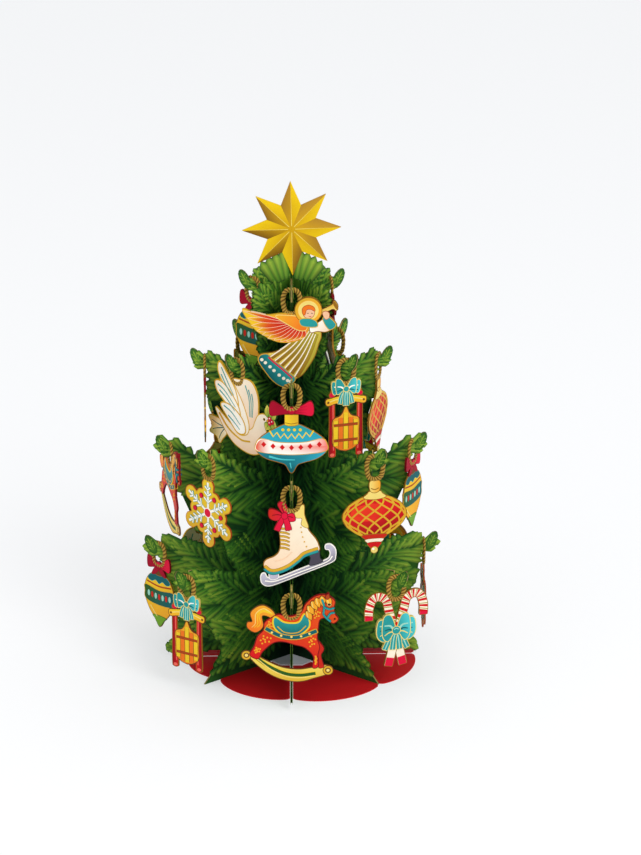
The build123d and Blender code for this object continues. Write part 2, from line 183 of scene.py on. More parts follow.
def horseArt():  # rocker, tail, legs, dappled body, saddle, girth, mane and bridle
    horse = {"coat": "ember", "deep": "scarlet", "saddle": "teal", "rocker": "straw", "dapples": 9, "goldenTurn": 2.4,
             "patches": ((-12.6, -17, 2, 2.4), (-15.4, -26.4, 3.8, 3), (-20, -33, 2, 2), (11.8, -27.4, 2.2, 4),
                         (14.1, -39.4, 0.5, 3), (14.4, -10, 2.2, 3))}
    art = []
    upper = [(-24.5, -34.2), (-15.8, -39.4), (-6.1, -44.1), (3.4, -45.6), (11.3, -44.6), (20.4, -43)]
    lower = [(21.6, -47.6), (12.5, -51), (6.5, -52.8), (0.4, -52.9), (-7.7, -50.8), (-15.8, -46), (-23.4, -38.6)]
    lay(art, curve(upper + lower), horse["rocker"], 0.5, "brown", fade=("gold", (0, -44), (0, -54)))
    lay(art, stroke([(-21, -37.4), (-14, -43), (-4, -48), (5, -49.2), (14, -48)], 2.0), "moss", 0.4, "yellow")
    lay(art, stroke([(-20, -38.8), (-12, -45.4), (-3, -49.8), (5, -50.8), (14, -49.4)], 0.6), "paleGold")
    for u, v, r in ((-26.2, -36.4, 2.7), (21.2, -46, 2.7)):  # curled ends
        lay(art, oval(u, v, r), "gold", 0.4, "brown")
        lay(art, oval(u, v, r * 0.62), "brown")
        lay(art, oval(u, v, r * 0.36), "paleGold")
    tail = curve([(-9, -14), (-14.2, -11.2), (-17.2, -11.6), (-16.6, -18), (-20.8, -21.6), (-25.2, -19),
                  (-25.4, -15.6), (-22.6, -14.8), (-23.6, -9.6), (-20, -5.8), (-15.6, -5), (-10.6, -8.6)])
    lay(art, tail, "amber", 0.4, "brown", fade=("orange", (-14, -6), (-23, -20)))
    for k in (0, 1.5, 3):
        strand = [(-11, -10.2), (-16, -6.8 - k * 0.6), (-20.6 + k * 0.6, -10 - k * 0.2), (-21 + k, -16),
                  (-23 + k, -18.6)]
        lay(art, stroke(strand, 0.7, 0.6), "yellow" if k else "paleGold")
    farLegs = curve([(12, -24), (15.6, -27.4), (18.6, -32.2), (17, -36.4), (18.2, -41.8), (18.6, -43.8), (15.8, -44),
                     (15.4, -36.8), (9, -31)])
    lay(art, farLegs, "red", 0.35, "wine")
    body = curve([(5.4, -9.6), (8.4, -3.8), (13.6, 0.8), (19.4, 1.8), (24.6, -1.6), (24.4, -6), (24.8, -10),
                  (26.8, -13.2), (24.6, -15.6), (22.6, -15), (19.8, -12.4), (16.2, -13.6), (15.2, -19), (14.7, -25.6),
                  (16, -31), (15, -36.8), (15.4, -43.2), (12.4, -44), (13, -37.2), (8, -31.4), (2, -29.4),
                  (-5, -27.4), (-11, -28.4), (-17, -34), (-19.6, -38.4), (-24, -36), (-21.6, -31), (-19.4, -24.4),
                  (-16, -20.4), (-15.4, -15.8), (-11.6, -12.6), (-7.4, -10.6), (-2, -12)])
    lay(art, body, horse["coat"], 0.5, "wine", fade=(horse["deep"], (0, -12), (-6, -40)))
    # each patch of dapples: a sunflower spread, the radius grows with the root of the count
    k = np.arange(horse["dapples"])
    out = np.sqrt(k / horse["dapples"])
    for u, v, wide, high in horse["patches"]:
        spots = np.column_stack([u + wide * out * np.cos(horse["goldenTurn"] * k),
                                 v + high * out * np.sin(horse["goldenTurn"] * k)])
        lay(art, [oval(*spot, 0.55, count=10) for spot in spots], "amber")
    saddle = curve([(-9.6, -12.2), (-4, -15.6), (4, -15.6), (7.4, -10.4), (9.4, -12), (9.8, -18), (4, -23), (-4, -23),
                    (-9.6, -18.4)])
    lay(art, saddle, horse["saddle"], 0.9, "yellow", fade=("deepTeal", (0, -14), (0, -24)))
    lay(art, stroke([(-8.2, -17.8), (-3.6, -21.6), (3.6, -21.6), (8.4, -17.4)], 0.6), "gold")
    lay(art, stroke([(-15, -19), (-6, -23.8), (4, -24.6), (14.6, -20.6)], 2.2), "deepTeal", 0.5, "gold")
    lay(art, [oval(u, v, 0.7) for u, v in ((-11.4, -21.6), (-6, -23.6), (0, -24.4), (5.6, -24), (10.4, -22.4))],
        "paleGold")
    mane = [(8.6, -8), (9.4, -4.6), (11.6, -1.8), (14.2, 0.3), (17.4, 1.4), (20.4, 1.2)]
    lay(art, [drop(u, v, 6.4, 3.4, a) for (u, v), a in zip(mane, (-62, -58, -60, -72, -84, -70))], "amber", 0.3,
        "brown")
    lay(art, [stroke([(u, v - 0.4), (u + 0.8, v - 4)], 0.5, smooth=False) for u, v in mane], "paleGold")
    lay(art, drop(20.4, -0.6, 3.6, 2.2, 76), "rust", 0.3, "wine")  # ear
    for p in ([(17.6, -0.6), (18.8, -5), (18.4, -10)], [(18.8, -5.6), (22, -6.8), (24.6, -6)],
              [(20.6, -12.6), (22.4, -9.6), (24.8, -9)], [(18.4, -10), (20.4, -12.6), (22.6, -14.6)]):
        lay(art, stroke(p, 0.9), "teal", 0.2, "deepTeal")
    lay(art, oval(21.8, -3.8, 0.95, 0.8), "bark", 0.25, "paleGold")
    lay(art, oval(25, -13, 0.5), "bark")
    return art


def skateArt():  # blade, heel, boot, sole, laces and bow
    skate = {"boot": "cream", "lace": 6}
    art = []
    blade = curve([(-17.6, -54.6), (-17, -52.4), (-15.4, -52), (-14.4, -54.2), (-12.2, -55), (-7, -54.4), (4, -49.8),
                   (13, -46), (20.4, -43.2), (22.4, -40.2), (21.8, -37), (19.8, -36.4), (19.8, -34.2), (22.4, -33.8),
                   (25, -36.6), (25.2, -41), (23, -44.6), (8, -51.2), (-7, -57.6), (-13.4, -59.6), (-16.8, -58)])
    lay(art, blade, "silver", 0.5, "white", fade=("slate", (0, -49), (4, -57)))
    lay(art, stroke([(-15.4, -56.6), (-9, -56.6), (6, -50.6), (20, -44.8), (23.6, -41)], 0.7), "white")
    lay(art, curve([(-12.4, -50), (-8.8, -50.4), (-7.6, -54), (-10, -55.6), (-12.6, -54.8)]), "silver", 0.4, "white")
    lay(art, curve([(9.2, -38.6), (15.4, -36.6), (16.4, -42), (17.6, -44.4), (10.6, -46.6), (11, -42)]), "slate", 0.4,
        "night")
    boot = curve([(-7.8, -21), (-6.4, -15), (-1, -13.4), (2.6, -12.8), (6.8, -9.4), (7, -15), (8, -20), (9.8, -25),
                  (13.6, -30), (15.4, -34), (15.5, -37.4), (9.4, -39), (5.5, -41), (2.2, -45.4), (-3.4, -48.8),
                  (-9, -50.8), (-13.8, -50.4), (-15.8, -46.4), (-14.4, -43.4), (-10, -41.4), (-7.2, -38.6),
                  (-6.2, -34), (-6.6, -27)])
    lay(art, boot, skate["boot"], 0.5, "deepGold", fade=("blush", (2, -20), (-12, -50)))
    sole = [(-15.4, -47.6), (-12, -50.2), (-8, -50), (-2, -47.4), (3.6, -43), (7.4, -39.4), (15.2, -36.4)]
    lay(art, stroke([(u, v - 1.2) for u, v in sole], 1.8), "teal", 0.3, "deepTeal")
    lay(art, stroke([(u, v + 0.4) for u, v in sole], 1.6), "gold", 0.2, "deepGold")
    lay(art, curve([(2.2, -13.2), (6.8, -9), (7.4, -15.6), (9.6, -23), (5.8, -21.4), (6, -17.4), (2.6, -16.8)]),
        "paleGold", 0.3, "deepGold")
    # stitches
    lay(art, [oval(u, v, 0.5, count=10) for u, v in ((5.4, -23), (5.8, -26), (6.4, -29), (7.4, -32), (8.6, -35))],
        "gold")
    for k in range(skate["lace"]):  # laces down the front edge
        v = -24 - 2.4 * k
        lay(art, stroke([(-6.4, v + 0.4), (-3.4, v), (-1.2, v - 0.9)], 0.95, 0.3), "gold", 0.2, "brown")
    lay(art, stroke([(-9.6, -44.2), (-4, -42.4), (0.4, -38.4)], 0.5), "blush")
    for outline in (curve([(-4.6, -16), (-8.4, -12.6), (-12.6, -12), (-12.6, -16.8), (-8.6, -18.6)]),
                    curve([(-4.4, -15), (-7.8, -8.8), (-4.6, -7), (-2.6, -11), (-2.6, -15)]),
                    curve([(-4, -16), (0.8, -14.4), (2, -18.6), (-2, -19)])):
        lay(art, outline, "crimson", 0.35, "wine", fade=("red", (-4, -15), (-12, -14)))
    for p in ([(-4.6, -17), (-6.8, -21), (-8.4, -24.8)], [(-3.6, -17), (-2.4, -21), (-1.6, -24.6)]):
        lay(art, stroke(p, 2.6, -0.3), "crimson", 0.35, "wine")
    lay(art, [stroke(p, 0.45) for p in ([(-5, -15.6), (-8, -15), (-11, -15.4)],
                                        [(-4.2, -14), (-5.4, -11), (-5.2, -8.6)],
                                        [(-3, -16.4), (-1, -16.2), (0.8, -16.8)])], "wine")
    lay(art, oval(-4, -15.8, 1.7, 1.9), "crimson", 0.3, "wine")
    return art


def topBaubleArt():  # turnip body with a zigzag shoulder, a band of lozenges, cap and bow
    top = {"teeth": 13, "marks": 7}
    art = []
    body = whole([(3.6, -22.4), (11.5, -26.2), (17.8, -30.6), (20.6, -35.4), (19.4, -39.4), (14.5, -43.2), (7, -45.6),
                  (3.4, -47.2), (0.9, -51.6)])
    lay(art, body, "sky", 0.45, "deepGold", fade=("deepTeal", (6, -40), (2, -51)))
    lay(art, whole([(3.6, -22.6), (11.3, -26.4), (17.4, -30.6), (12, -32.4), (4, -33.4)]), "sky", 0,
        fade=("teal", (0, -30), (0, -24)))
    u = np.linspace(-12.6, 12.6, top["teeth"])  # zigzag round the shoulder: every second point is high
    lay(art, stroke(np.column_stack([u, -29.6 + 0.012 * u ** 2 + 1.5 * (-1) ** np.arange(len(u))]), 1.0,
                    smooth=False), "yellow")
    lay(art, [oval(u, -25.6, 0.9) for u in np.linspace(-5, 5, 4)], "yellow")
    band = curve([(-20.4, -34.6), (-17.6, -31.2), (-9, -33.2), (0, -33.8), (9, -33.2), (17.6, -31.2), (20.4, -34.6),
                  (19.8, -38.4), (10, -40.2), (0, -40.8), (-10, -40.2), (-19.8, -38.4)])
    lay(art, band, "white", 0.4, "gold", fade=("coral", (10, -36), (21, -36)))
    lay(art, curve([(-20.2, -34.8), (-17.4, -31.6), (-12, -32.8), (-12, -39.8), (-19.6, -38.2)]), "ember", 0,
        fade=("white", (-20, -36), (-12.4, -36)))
    for u in np.linspace(-16, 16, top["marks"]):  # lozenges along the band
        v = -36.6 + 0.008 * u ** 2
        lay(art, np.array([(u - 1.5, v), (u, v - 1.8), (u + 1.5, v), (u, v + 1.8)]), "scarlet")
    lay(art, stroke([(-13, -42), (-6, -43.8), (2, -44.2)], 1.2, 0.6), "aqua")
    lay(art, stroke([(-0.8, -46), (-0.2, -49.4)], 0.8, 0.5, smooth=False), "aqua")
    lay(art, np.array([(-3.8, -16.4), (3.8, -16.4), (3.8, -22.4), (1.9, -23), (-1.9, -23), (-3.8, -22.4)]), "yellow",
        0.35, "deepGold", fade=("gold", (-1, -20), (4, -20)))
    lay(art, stroke([(-3.6, -21.2), (0, -21.9), (3.6, -21.2)], 0.45), "deepGold")
    bowArt(art, -14, 12.6, tails=False)
    return art


def dropBaubleArt():  # pear body with stripes, a band of beads, cap and bow
    dropped = {"beads": 7}
    art = []
    body = whole([(2.6, -18.6), (7.4, -20.8), (10.8, -25.8), (11.9, -31.5), (11.1, -37.5), (8, -43.6), (3.6, -48.6),
                  (0.9, -52.8)])
    lay(art, body, "yellow", 0.45, "deepGold", fade=("amber", (-4, -24), (9, -44)))
    lay(art, whole([(2.6, -18.8), (7.3, -21), (9, -23.4), (6, -24.6), (3, -23.2), (0.4, -24.8)]), "deepTeal", 0.3,
        "teal")
    lay(art, stroke([(-10.2, -25.6), (0, -26.9), (10.2, -25.6)], 1.0), "rust")
    band = curve([(-11.2, -28.4), (0, -29.8), (11.2, -28.4), (11.8, -32), (11, -37.6), (0, -39.2), (-11, -37.6),
                  (-11.8, -32)])
    lay(art, band, "moss", 0.4, "gold", fade=("deepTeal", (-8, -30), (8, -38)))
    for k, u in enumerate(np.linspace(-8.7, 8.7, dropped["beads"])):  # beads round the band
        lay(art, oval(u, -33.9 + 0.008 * u ** 2, 1.0, 2.0, count=14), "red" if k % 2 else "mint")
    lay(art, whole([(5, -46.6), (3.6, -48.8), (0.9, -52.6)]), "leaf", 0.3, "moss")
    lay(art, stroke([(-7.4, -41), (-4, -45), (-1.8, -47)], 0.9, 0.5), "paleGold")
    lay(art, whole([(2.6, -14), (2.8, -18.8), (1, -19.6)]), "brown", 0.3, "deepGold")
    bowArt(art, -13, 9.2)
    return art


def latticeArt():  # turnip body under two ways of slanting ribs, neck, rings and pearl
    lattice = {"ribs": 8, "swing": 0.62}
    art = []
    edge = [(4.4, -23.4), (10, -25.4), (15.4, -28.8), (18.5, -33.2), (18.9, -37), (16.4, -41.8), (11, -46.2),
            (7.2, -48.4), (4.2, -50.2)]
    lay(art, whole(edge), "scarlet", 0.5, "deepGold", fade=("wine", (0, -40), (2, -51)))
    lay(art, curve([(-13, -31.4), (-4, -28.4), (6, -29.4), (9, -34), (3, -38.6), (-8, -39), (-14, -36.2)]), "flame",
        fade=("scarlet", (-4, -33), (9, -36)))
    t = np.linspace(0, 1, 31)
    v = -23.6 - 26.4 * t  # slanting ribs: u swings with the body's own half width
    half = np.interp(-v, [-b for a, b in edge], [a for a, b in edge])
    for k in np.linspace(-1.24, 1.24, lattice["ribs"]):
        for way in (1, -1):
            turn = np.clip(k + way * 2 * lattice["swing"] * (t - 0.5), -1, 1)
            lay(art, stroke(np.column_stack([half * np.sin(turn * np.pi / 2) * 0.985, v]), 1.0, smooth=False), "gold")
    lay(art, whole([(3, -20.6), (4.4, -22), (6.6, -24.2), (2.6, -25.4)]), "paleGold", 0.35, "deepGold")
    lay(art, whole([(2.4, -14), (3.2, -16.8), (2.6, -20), (1, -21.2)]), "amber", 0.4, "deepGold",
        fade=("paleGold", (3, -17), (-3, -17)))
    lay(art, stroke([(-2.4, -18.6), (0, -19.4), (2.4, -18.6)], 0.6), "deepGold")
    lay(art, whole([(6.6, -48), (6, -50), (3, -51.6), (0.5, -52)]), "red", 0.35, "deepGold")
    lay(art, whole([(5, -50.8), (4, -52.8), (1.4, -53.6)]), "cream", 0.3, "deepGold")
    lay(art, whole([(3.8, -53), (2.8, -55.4), (1.2, -56.8)]), "scarlet", 0.3, "deepGold")
    lay(art, oval(0, -57.6, 2.0), "paleGold", 0.3, "deepGold")
    lay(art, oval(-0.6, -57, 0.7), "white")
    return art


def snowflakeArt():  # scalloped plate with six round lobes, a crystal and dots
    flake = {"v": -34.2, "arms": 6, "lobeAt": 16.6, "lobe": 4.9, "disc": 14.8, "scallop": 0.4}
    art = []
    spin = np.arange(flake["arms"]) * 360 / flake["arms"]
    t = np.radians(np.arange(0, 360, 3.0))
    off = (t + np.pi / 6) % (np.pi / 3) - np.pi / 6
    chord = flake["lobe"] ** 2 - (flake["lobeAt"] * np.sin(off)) ** 2  # round lobes on a scalloped disc
    lobes = flake["lobeAt"] * np.cos(off) + np.sqrt(np.maximum(chord, 0))
    reach = np.where(chord > 0, lobes, flake["disc"] + flake["scallop"] * np.cos(12 * t))
    edge = np.column_stack([reach * np.sin(t), flake["v"] + reach * np.cos(t)])
    lay(art, edge, "gold", 0.3, "rust")
    lay(art, grow(edge, -0.7), "yellow", 0, fade=("gold", (0, -20), (0, -50)))

    def about(outline, degrees):  # an outline drawn along +v from the centre, turned to an arm
        return turned(outline[:, 0], outline[:, 1], 0, flake["v"], -degrees)

    lay(art, [about(stroke([(0, 2), (0, 19)], 1.5, smooth=False), s) for s in spin], "white", 0.25, "teal")
    for y, w in ((6.5, 3.2), (10.5, 2.8), (14.5, 2.2)):  # branches up each arm
        fork = stroke([(-w, y + 0.8 * w), (0, y), (w, y + 0.8 * w)], 1.0, smooth=False)
        lay(art, [about(fork, s) for s in spin], "white", 0.25, "teal")
    lay(art, [about(oval(0, 11, 1.4), s + 30) for s in spin], "crimson", 0.2, "wine")
    lay(art, oval(0, flake["v"], 2.6), "crimson", 0.5, "white")
    return art


def sledArt():  # runners, slatted deck, steering bar and bow
    sled = {"slats": 5, "half": 7.6}
    art = []
    for side in (1, -1):
        runner = curve([(7.3, -19), (9.7, -19), (10, -38), (10.2, -55), (9.5, -57.8), (6.8, -57.8), (6.3, -55),
                        (6.8, -38)])
        runner = runner if side > 0 else flip(runner)
        lay(art, runner, "scarlet", 0.35, "deepGold", fade=("wine", (side * 7.4, 0), (side * 10.4, 0)))
        lay(art, stroke([(side * 7.9, -22), (side * 7.7, -40), (side * 7.4, -54)], 0.6), "coral")
        lay(art, oval(side * 8.4, -19.4, 1.7, 1.4), "crimson", 0.3, "deepGold")
        lay(art, oval(side * 8.2, -56.8, 1.4, 1.0), "coral")
    deck = whole([(0.5, -27.8), (1.8, -31), (3.8, -33.2), (7.8, -35.2), (7.9, -43), (7.8, -50), (4.4, -53.4),
                  (0.5, -54.6)])
    lay(art, deck, "amber", 0.5, "brown", fade=("orange", (0, -32), (0, -57)))
    edges = np.linspace(-sled["half"], sled["half"], sled["slats"] + 1)
    for k, (a, b) in enumerate(zip(edges[:-1], edges[1:])):  # slats: every second one darker, ends follow the deck
        off = abs(a + b) / 2 / sled["half"]
        low, high = -50 - 3.8 * (1 - off ** 2), -35.8 + 5 * (1 - off) ** 2
        slat = np.array([(a + 0.25, low), (b - 0.25, low), (b - 0.25, high), (a + 0.25, high)])
        lay(art, slat, "orange" if k % 2 else "yellow", 0.2, "deepGold")
    # battens
    lay(art, [stroke([(-7.2, v), (7.2, v)], 1.3, smooth=False) for v in (-38.5, -48)], "rust", 0.2, "brown")
    bar = curve([(0, -20.4), (5, -20.6), (9, -21.4), (11.8, -22), (12.2, -24.2), (10.8, -25.8), (5.4, -24.6),
                 (0, -25.4), (-5.4, -24.6), (-10.8, -25.8), (-12.2, -24.2), (-11.8, -22), (-9, -21.4), (-5, -20.6)])
    lay(art, bar, "yellow", 0.4, "brown", fade=("amber", (0, -21), (0, -26)))
    lay(art, stroke([(-10, -23.4), (-5, -22.2), (0, -22.6), (5, -22.2), (10, -23.4)], 0.6), "paleGold")
    lay(art, [oval(s * 10.8, -23.8, 0.7) for s in (1, -1)], "brown")
    for p in ([(0.6, -17), (2.6, -20), (3.8, -25.2)], [(0.2, -17), (0.7, -21), (0.6, -26.4)]):
        lay(art, pair(stroke(p, 2.1, -0.2)), "teal", 0.3, "paleGold")
        lay(art, pair(stroke(p, 0.6)), "mint")
    for r, dv in ((8.6, 0), (6.2, 2.2)):
        lobe = curve([(0.5, -15.8), (r * 0.5, -12.8 + dv), (r * 0.95, -11.4 + dv * 0.6), (r, -15.4),
                      (r * 0.84, -19.2), (r * 0.4, -17.4)])
        lay(art, pair(lobe), "aqua", 0.35, "paleGold", fade=("teal", (r, -16), (1, -16)))
        lay(art, pair(stroke([(1.4, -16), (r * 0.5, -14.8), (r * 0.85, -14.4)], 1.0, 0.4)), "white")
        lay(art, pair(stroke([(1.4, -16.6), (r * 0.5, -16.6), (r * 0.85, -17.4)], 0.8, 0.4)), "deepTeal")
    lay(art, oval(0, -16.2, 1.6), "teal", 0.35, "paleGold")
    return art


def angelArt():  # horn, pleated gown, arm, feathered wing, halo and face
    angel = {"feathers": 11, "pleats": 6, "dots": 8}
    art = []
    horn = curve([(14, -12.2), (20, -9.4), (23.6, -7.2), (24.6, -5), (26.6, -8), (25.8, -11), (23.4, -10),
                  (16, -14)])
    lay(art, horn, "gold", 0.4, "brown", fade=("paleGold", (20, -8), (21, -12)))
    lay(art, oval(25.4, -8, 1.0, 3.0, 26), "deepGold")
    gown = curve([(6, -17), (12, -17.6), (15.8, -20), (17, -26.4), (15.6, -31), (13.2, -38.8), (9.6, -45.2),
                  (6, -50.2), (1, -53.8), (-0.4, -56.4), (-5, -57.6), (-10.6, -54), (-15.4, -48), (-18.9, -42),
                  (-18.2, -38.2), (-10.4, -36.8), (-4.6, -34.4), (0.6, -30.4), (4.4, -24.6)])
    lay(art, gown, "straw", 0.5, "deepGold", fade=("olive", (4, -34), (14, -40)))
    for k in np.linspace(0, 1, angel["pleats"]):  # pleats fan from the waist down to the hem
        a, b = np.array([8.6 + 6.2 * k, -22.4 - 3 * k]), np.array([-12 + 15 * k, -40 - 11.6 * k])
        lay(art, stroke([a, (a + b) / 2 + (0.9, -0.9), b], 1.5, -0.7), "olive", 0.15, "deepGold",
            fade=("deepGold", a, b))
        lay(art, stroke([a - (0.9, 0), (a + b) / 2 + (-0.3, -0.5), b - (1.3, 0)], 0.5, -0.5), "cream")
    hem = curve([(-18, -38.6), (-14, -37.8), (-11.2, -41), (-6.2, -44.8), (-1.6, -49.2), (2, -52.8), (-0.6, -56.2),
                 (-5.4, -57.4), (-10.6, -54), (-14.8, -48.6), (-18.8, -42.2)])
    lay(art, hem, "teal", 0.45, "gold", fade=("deepTeal", (-6, -46), (-14, -50)))
    # dots along the hem's middle
    middle = openCurve([(-17.2, -41), (-13, -44.8), (-8.4, -49.4), (-3.5, -53.3), (-0.6, -54.4)])
    spots = middle[np.linspace(0, len(middle) - 1, angel["dots"]).astype(int)]
    lay(art, [oval(u, v, 1.0, count=14) for u, v in spots], "cream")
    lay(art, stroke([(-13.4, -39.4), (-10, -42.8), (-5, -47.2), (0.4, -52.4)], 0.8), "crimson")
    arm = curve([(11, -19), (15, -18.6), (19, -15.6), (20.6, -14.2), (25.6, -19.4), (20.4, -23.6), (15, -23.4),
                 (11, -24)])
    lay(art, arm, "white", 0.45, "deepGold", fade=("blush", (14, -18), (22, -23)))
    lay(art, curve([(18.2, -16.4), (20.4, -14.4), (25.4, -19.4), (21.8, -22.4)]), "teal", 0.4, "gold")
    # hand at the horn
    lay(art, curve([(18, -12.6), (19.6, -11.4), (21.6, -12.6), (21.4, -15.4), (19.4, -16)]), "skin", 0.25, "rust")
    wing = curve([(-28, -10.2), (-20.6, -13.2), (-13.7, -14), (-5, -13), (2, -13.6), (8, -17), (9.4, -22),
                  (6.6, -27.4), (0.4, -29.8), (-6, -30), (-11.3, -28.4), (-15.8, -25.8), (-20.2, -22.8),
                  (-24.6, -17)])
    lay(art, wing, "yellow", 0.5, "gold", fade=("orange", (-22, -14), (2, -22)))
    # long feathers: roots down the shoulder, tips along the wing's lower edge
    k = np.linspace(0, 1, angel["feathers"])
    tips = np.column_stack([np.interp(k, [0, 0.25, 0.5, 0.75, 1], [-28.2, -21.6, -13.6, -4.6, 5]),
                            np.interp(k, [0, 0.25, 0.5, 0.75, 1], [-11, -22.2, -28, -30.2, -28.2])])
    roots = np.column_stack([np.interp(k, [0, 1], [-2, 7.6]), np.interp(k, [0, 1], [-18, -21.6])])
    widths = np.interp(k, [0, 0.2, 1], [1.6, 3.6, 4.4])
    for root, tip, wide in zip(roots[::-1], tips[::-1], widths[::-1]):
        line = tip - root
        long, turn = np.hypot(*line), np.degrees(np.arctan2(line[1], line[0]))
        lay(art, drop(*root, long, wide, turn, lean=1.25), "scarlet", 0.25, "blush",
            fade=("yellow", root + 0.6 * line, tip))
        lay(art, drop(*(root + 0.12 * line), 0.72 * long, 0.34 * wide, turn), "red",
            fade=("orange", root + 0.3 * line, tip))
    lay(art, curve([(-9, -14.2), (-2, -14), (4, -14.8), (8, -18), (8.4, -22.4), (4, -22.6), (-2.6, -18.8)]), "amber",
        0.45, "paleGold", fade=("orange", (-6, -14), (7, -20)))
    lay(art, oval(9.7, -10.8, 7.6, count=34), "gold", 0.4, "deepGold", fade=("amber", (4, -6), (14, -15)))
    lay(art, oval(9.7, -10.8, 5.9, count=34), "paleGold", 0.4, "amber")
    lay(art, oval(9.9, -12, 3.3, 3.5), "skin", 0.3, "rust")
    lay(art, curve([(6.4, -12.4), (6.6, -9.2), (9.4, -7.6), (12.6, -8.6), (13.4, -11), (11, -10), (8.6, -10.4),
                    (7.6, -13.4)]), "orange", 0.3, "rust")
    # closed eyes
    lay(art, [stroke([(u - 0.6, -12.3), (u, -12.6), (u + 0.6, -12.3)], 0.28, smooth=False) for u in (9.4, 11.8)],
        "bark")
    lay(art, stroke([(10, -14.2), (10.7, -14.5), (11.4, -14.2)], 0.35, smooth=False), "red")
    lay(art, curve([(5, -16.4), (10, -15.8), (14, -17.4), (14.6, -20.4), (9, -20.6), (5.6, -19.6)]), "teal", 0.45,
        "gold")
    return art


def doveArt():  # far wing, tail, body, near wing of three feather rows, twig
    dove = {"quill": 0.9,  # the twig's leaves: root, length and turn
            "leaves": ((26, -27.6, 8, 98), (27, -28, 8.4, 50), (27.6, -30, 5, -12), (27, -31, 5.6, -58),
                       (26.4, -30.6, 5.4, -118))}
    art = []
    farWing = curve([(-3, -12.4), (2, -10.2), (7.4, -8.8), (12, -9.6), (15.6, -14), (17.2, -20.4), (16.8, -30),
                     (14, -38), (6, -38), (2, -26)])
    lay(art, farWing, "cream", 0.55, "gold", fade=("blush", (0, -14), (16, -30)))
    for k in (0, 1, 2):
        lay(art, stroke([(7 + 2.6 * k, -12.4 - 2 * k), (10 + 1.6 * k, -20 - k), (10.6 + k, -31)], 0.9, 0.4), "teal")
    tail = curve([(-8.6, -46), (-12, -50.4), (-14.4, -53.6), (-16.4, -50.4), (-18.4, -49.4), (-22.4, -48.4),
                  (-20.8, -45.4), (-20.8, -43), (-23, -38.6), (-16, -38.6), (-9, -40)])
    lay(art, tail, "paleGold", 0.5, "gold", fade=("cream", (-22, -46), (-8, -42)))
    tips = ((-20.8, -40.6), (-20, -46.4), (-15, -51.4))
    lay(art, [stroke([(-9.6, -43), (u * 0.6 - 4, v * 0.5 - 21.6), (u, v)], 0.7, 0.4) for u, v in tips], "deepTeal")
    body = curve([(12.4, -38), (15, -33), (17.4, -28.6), (21.2, -26.6), (24.6, -27.4), (26.6, -30), (24.6, -33),
                  (23.6, -38), (23.8, -44), (20, -50.2), (12.8, -53.6), (4, -52.8), (-4, -49.4), (-11.4, -42),
                  (-17.4, -32.4), (-12, -35), (-4, -40), (4, -42)])
    lay(art, body, "cream", 0.6, "gold", fade=("blush", (4, -34), (10, -54)))
    lay(art, curve([(24.8, -29), (28.2, -29.8), (24.8, -31.2)]), "amber", 0.25, "brown")
    lay(art, oval(22.4, -29.4, 0.75), "bark", 0.2, "gold")
    lay(art, stroke([(-14.6, -34.6), (-7, -42.4), (3, -47), (11, -46.4)], 1.5, 0.3), "gold")
    rows = ([(-13.6, -3.4), (-6.4, -10.8), (-1, -18), (1, -27), (-4, -24), (-10, -16), (-14.6, -9)],
            [(-17.2, -15.8), (-12, -15.4), (-5, -20), (1.6, -28), (2, -34), (-4, -30), (-11, -25), (-16, -20.6)],
            [(-12.6, -29.4), (-8.6, -27.6), (-2, -29.4), (5, -35), (6.6, -41.6), (1, -43), (-6, -36.8)])
    nearWing = curve([(-13.6, -3), (-5.6, -10.6), (1, -18.4), (5.8, -26), (9.6, -36), (8.2, -42.2), (1, -43.6),
                      (-6, -37), (-13, -29.6), (-9.6, -27.2), (-16, -21.2), (-17.4, -15.8), (-12.6, -15.8),
                      (-14.8, -8)])
    lay(art, nearWing, "white", 0.6, "gold", fade=("cream", (-14, -6), (8, -42)))
    lay(art, [curve(row) for row in rows], "cream", 0.9, "gold", fade=("white", (-12, -10), (4, -36)))
    quills = ([(-12.4, -6), (-7.6, -13.4), (-2.4, -21)], [(-12.6, -10.4), (-8.4, -16.4), (-4, -21.6)],
              [(-15.4, -17), (-9, -20.4), (-1, -28)], [(-14, -20.4), (-8, -24.4), (-1.6, -30.6)],
              [(-10.6, -29.2), (-4, -32), (3, -38)], [(-7, -34.4), (-2, -37.6), (2.4, -41)])
    lay(art, [stroke(line, dove["quill"], 0.5) for line in quills], "teal")
    for u, v, long, turn in dove["leaves"]:
        ray = long * np.array([np.cos(np.radians(turn)), np.sin(np.radians(turn))])
        lay(art, drop(u, v, long, 5.2, turn), "leaf", 0.3, "moss", fade=("straw", (u, v), (u, v) + ray))
        lay(art, stroke([(u, v), (u, v) + 0.8 * ray], 0.4, 0.5, smooth=False), "moss")
    lay(art, [oval(u, v, 1.35) for u, v in ((27.2, -28), (29, -29.4), (27, -30.6))], "crimson", 0.25, "wine")
    lay(art, [oval(u, v, 0.4) for u, v in ((26.9, -27.6), (28.7, -29), (26.7, -30.2))], "white")
    return art


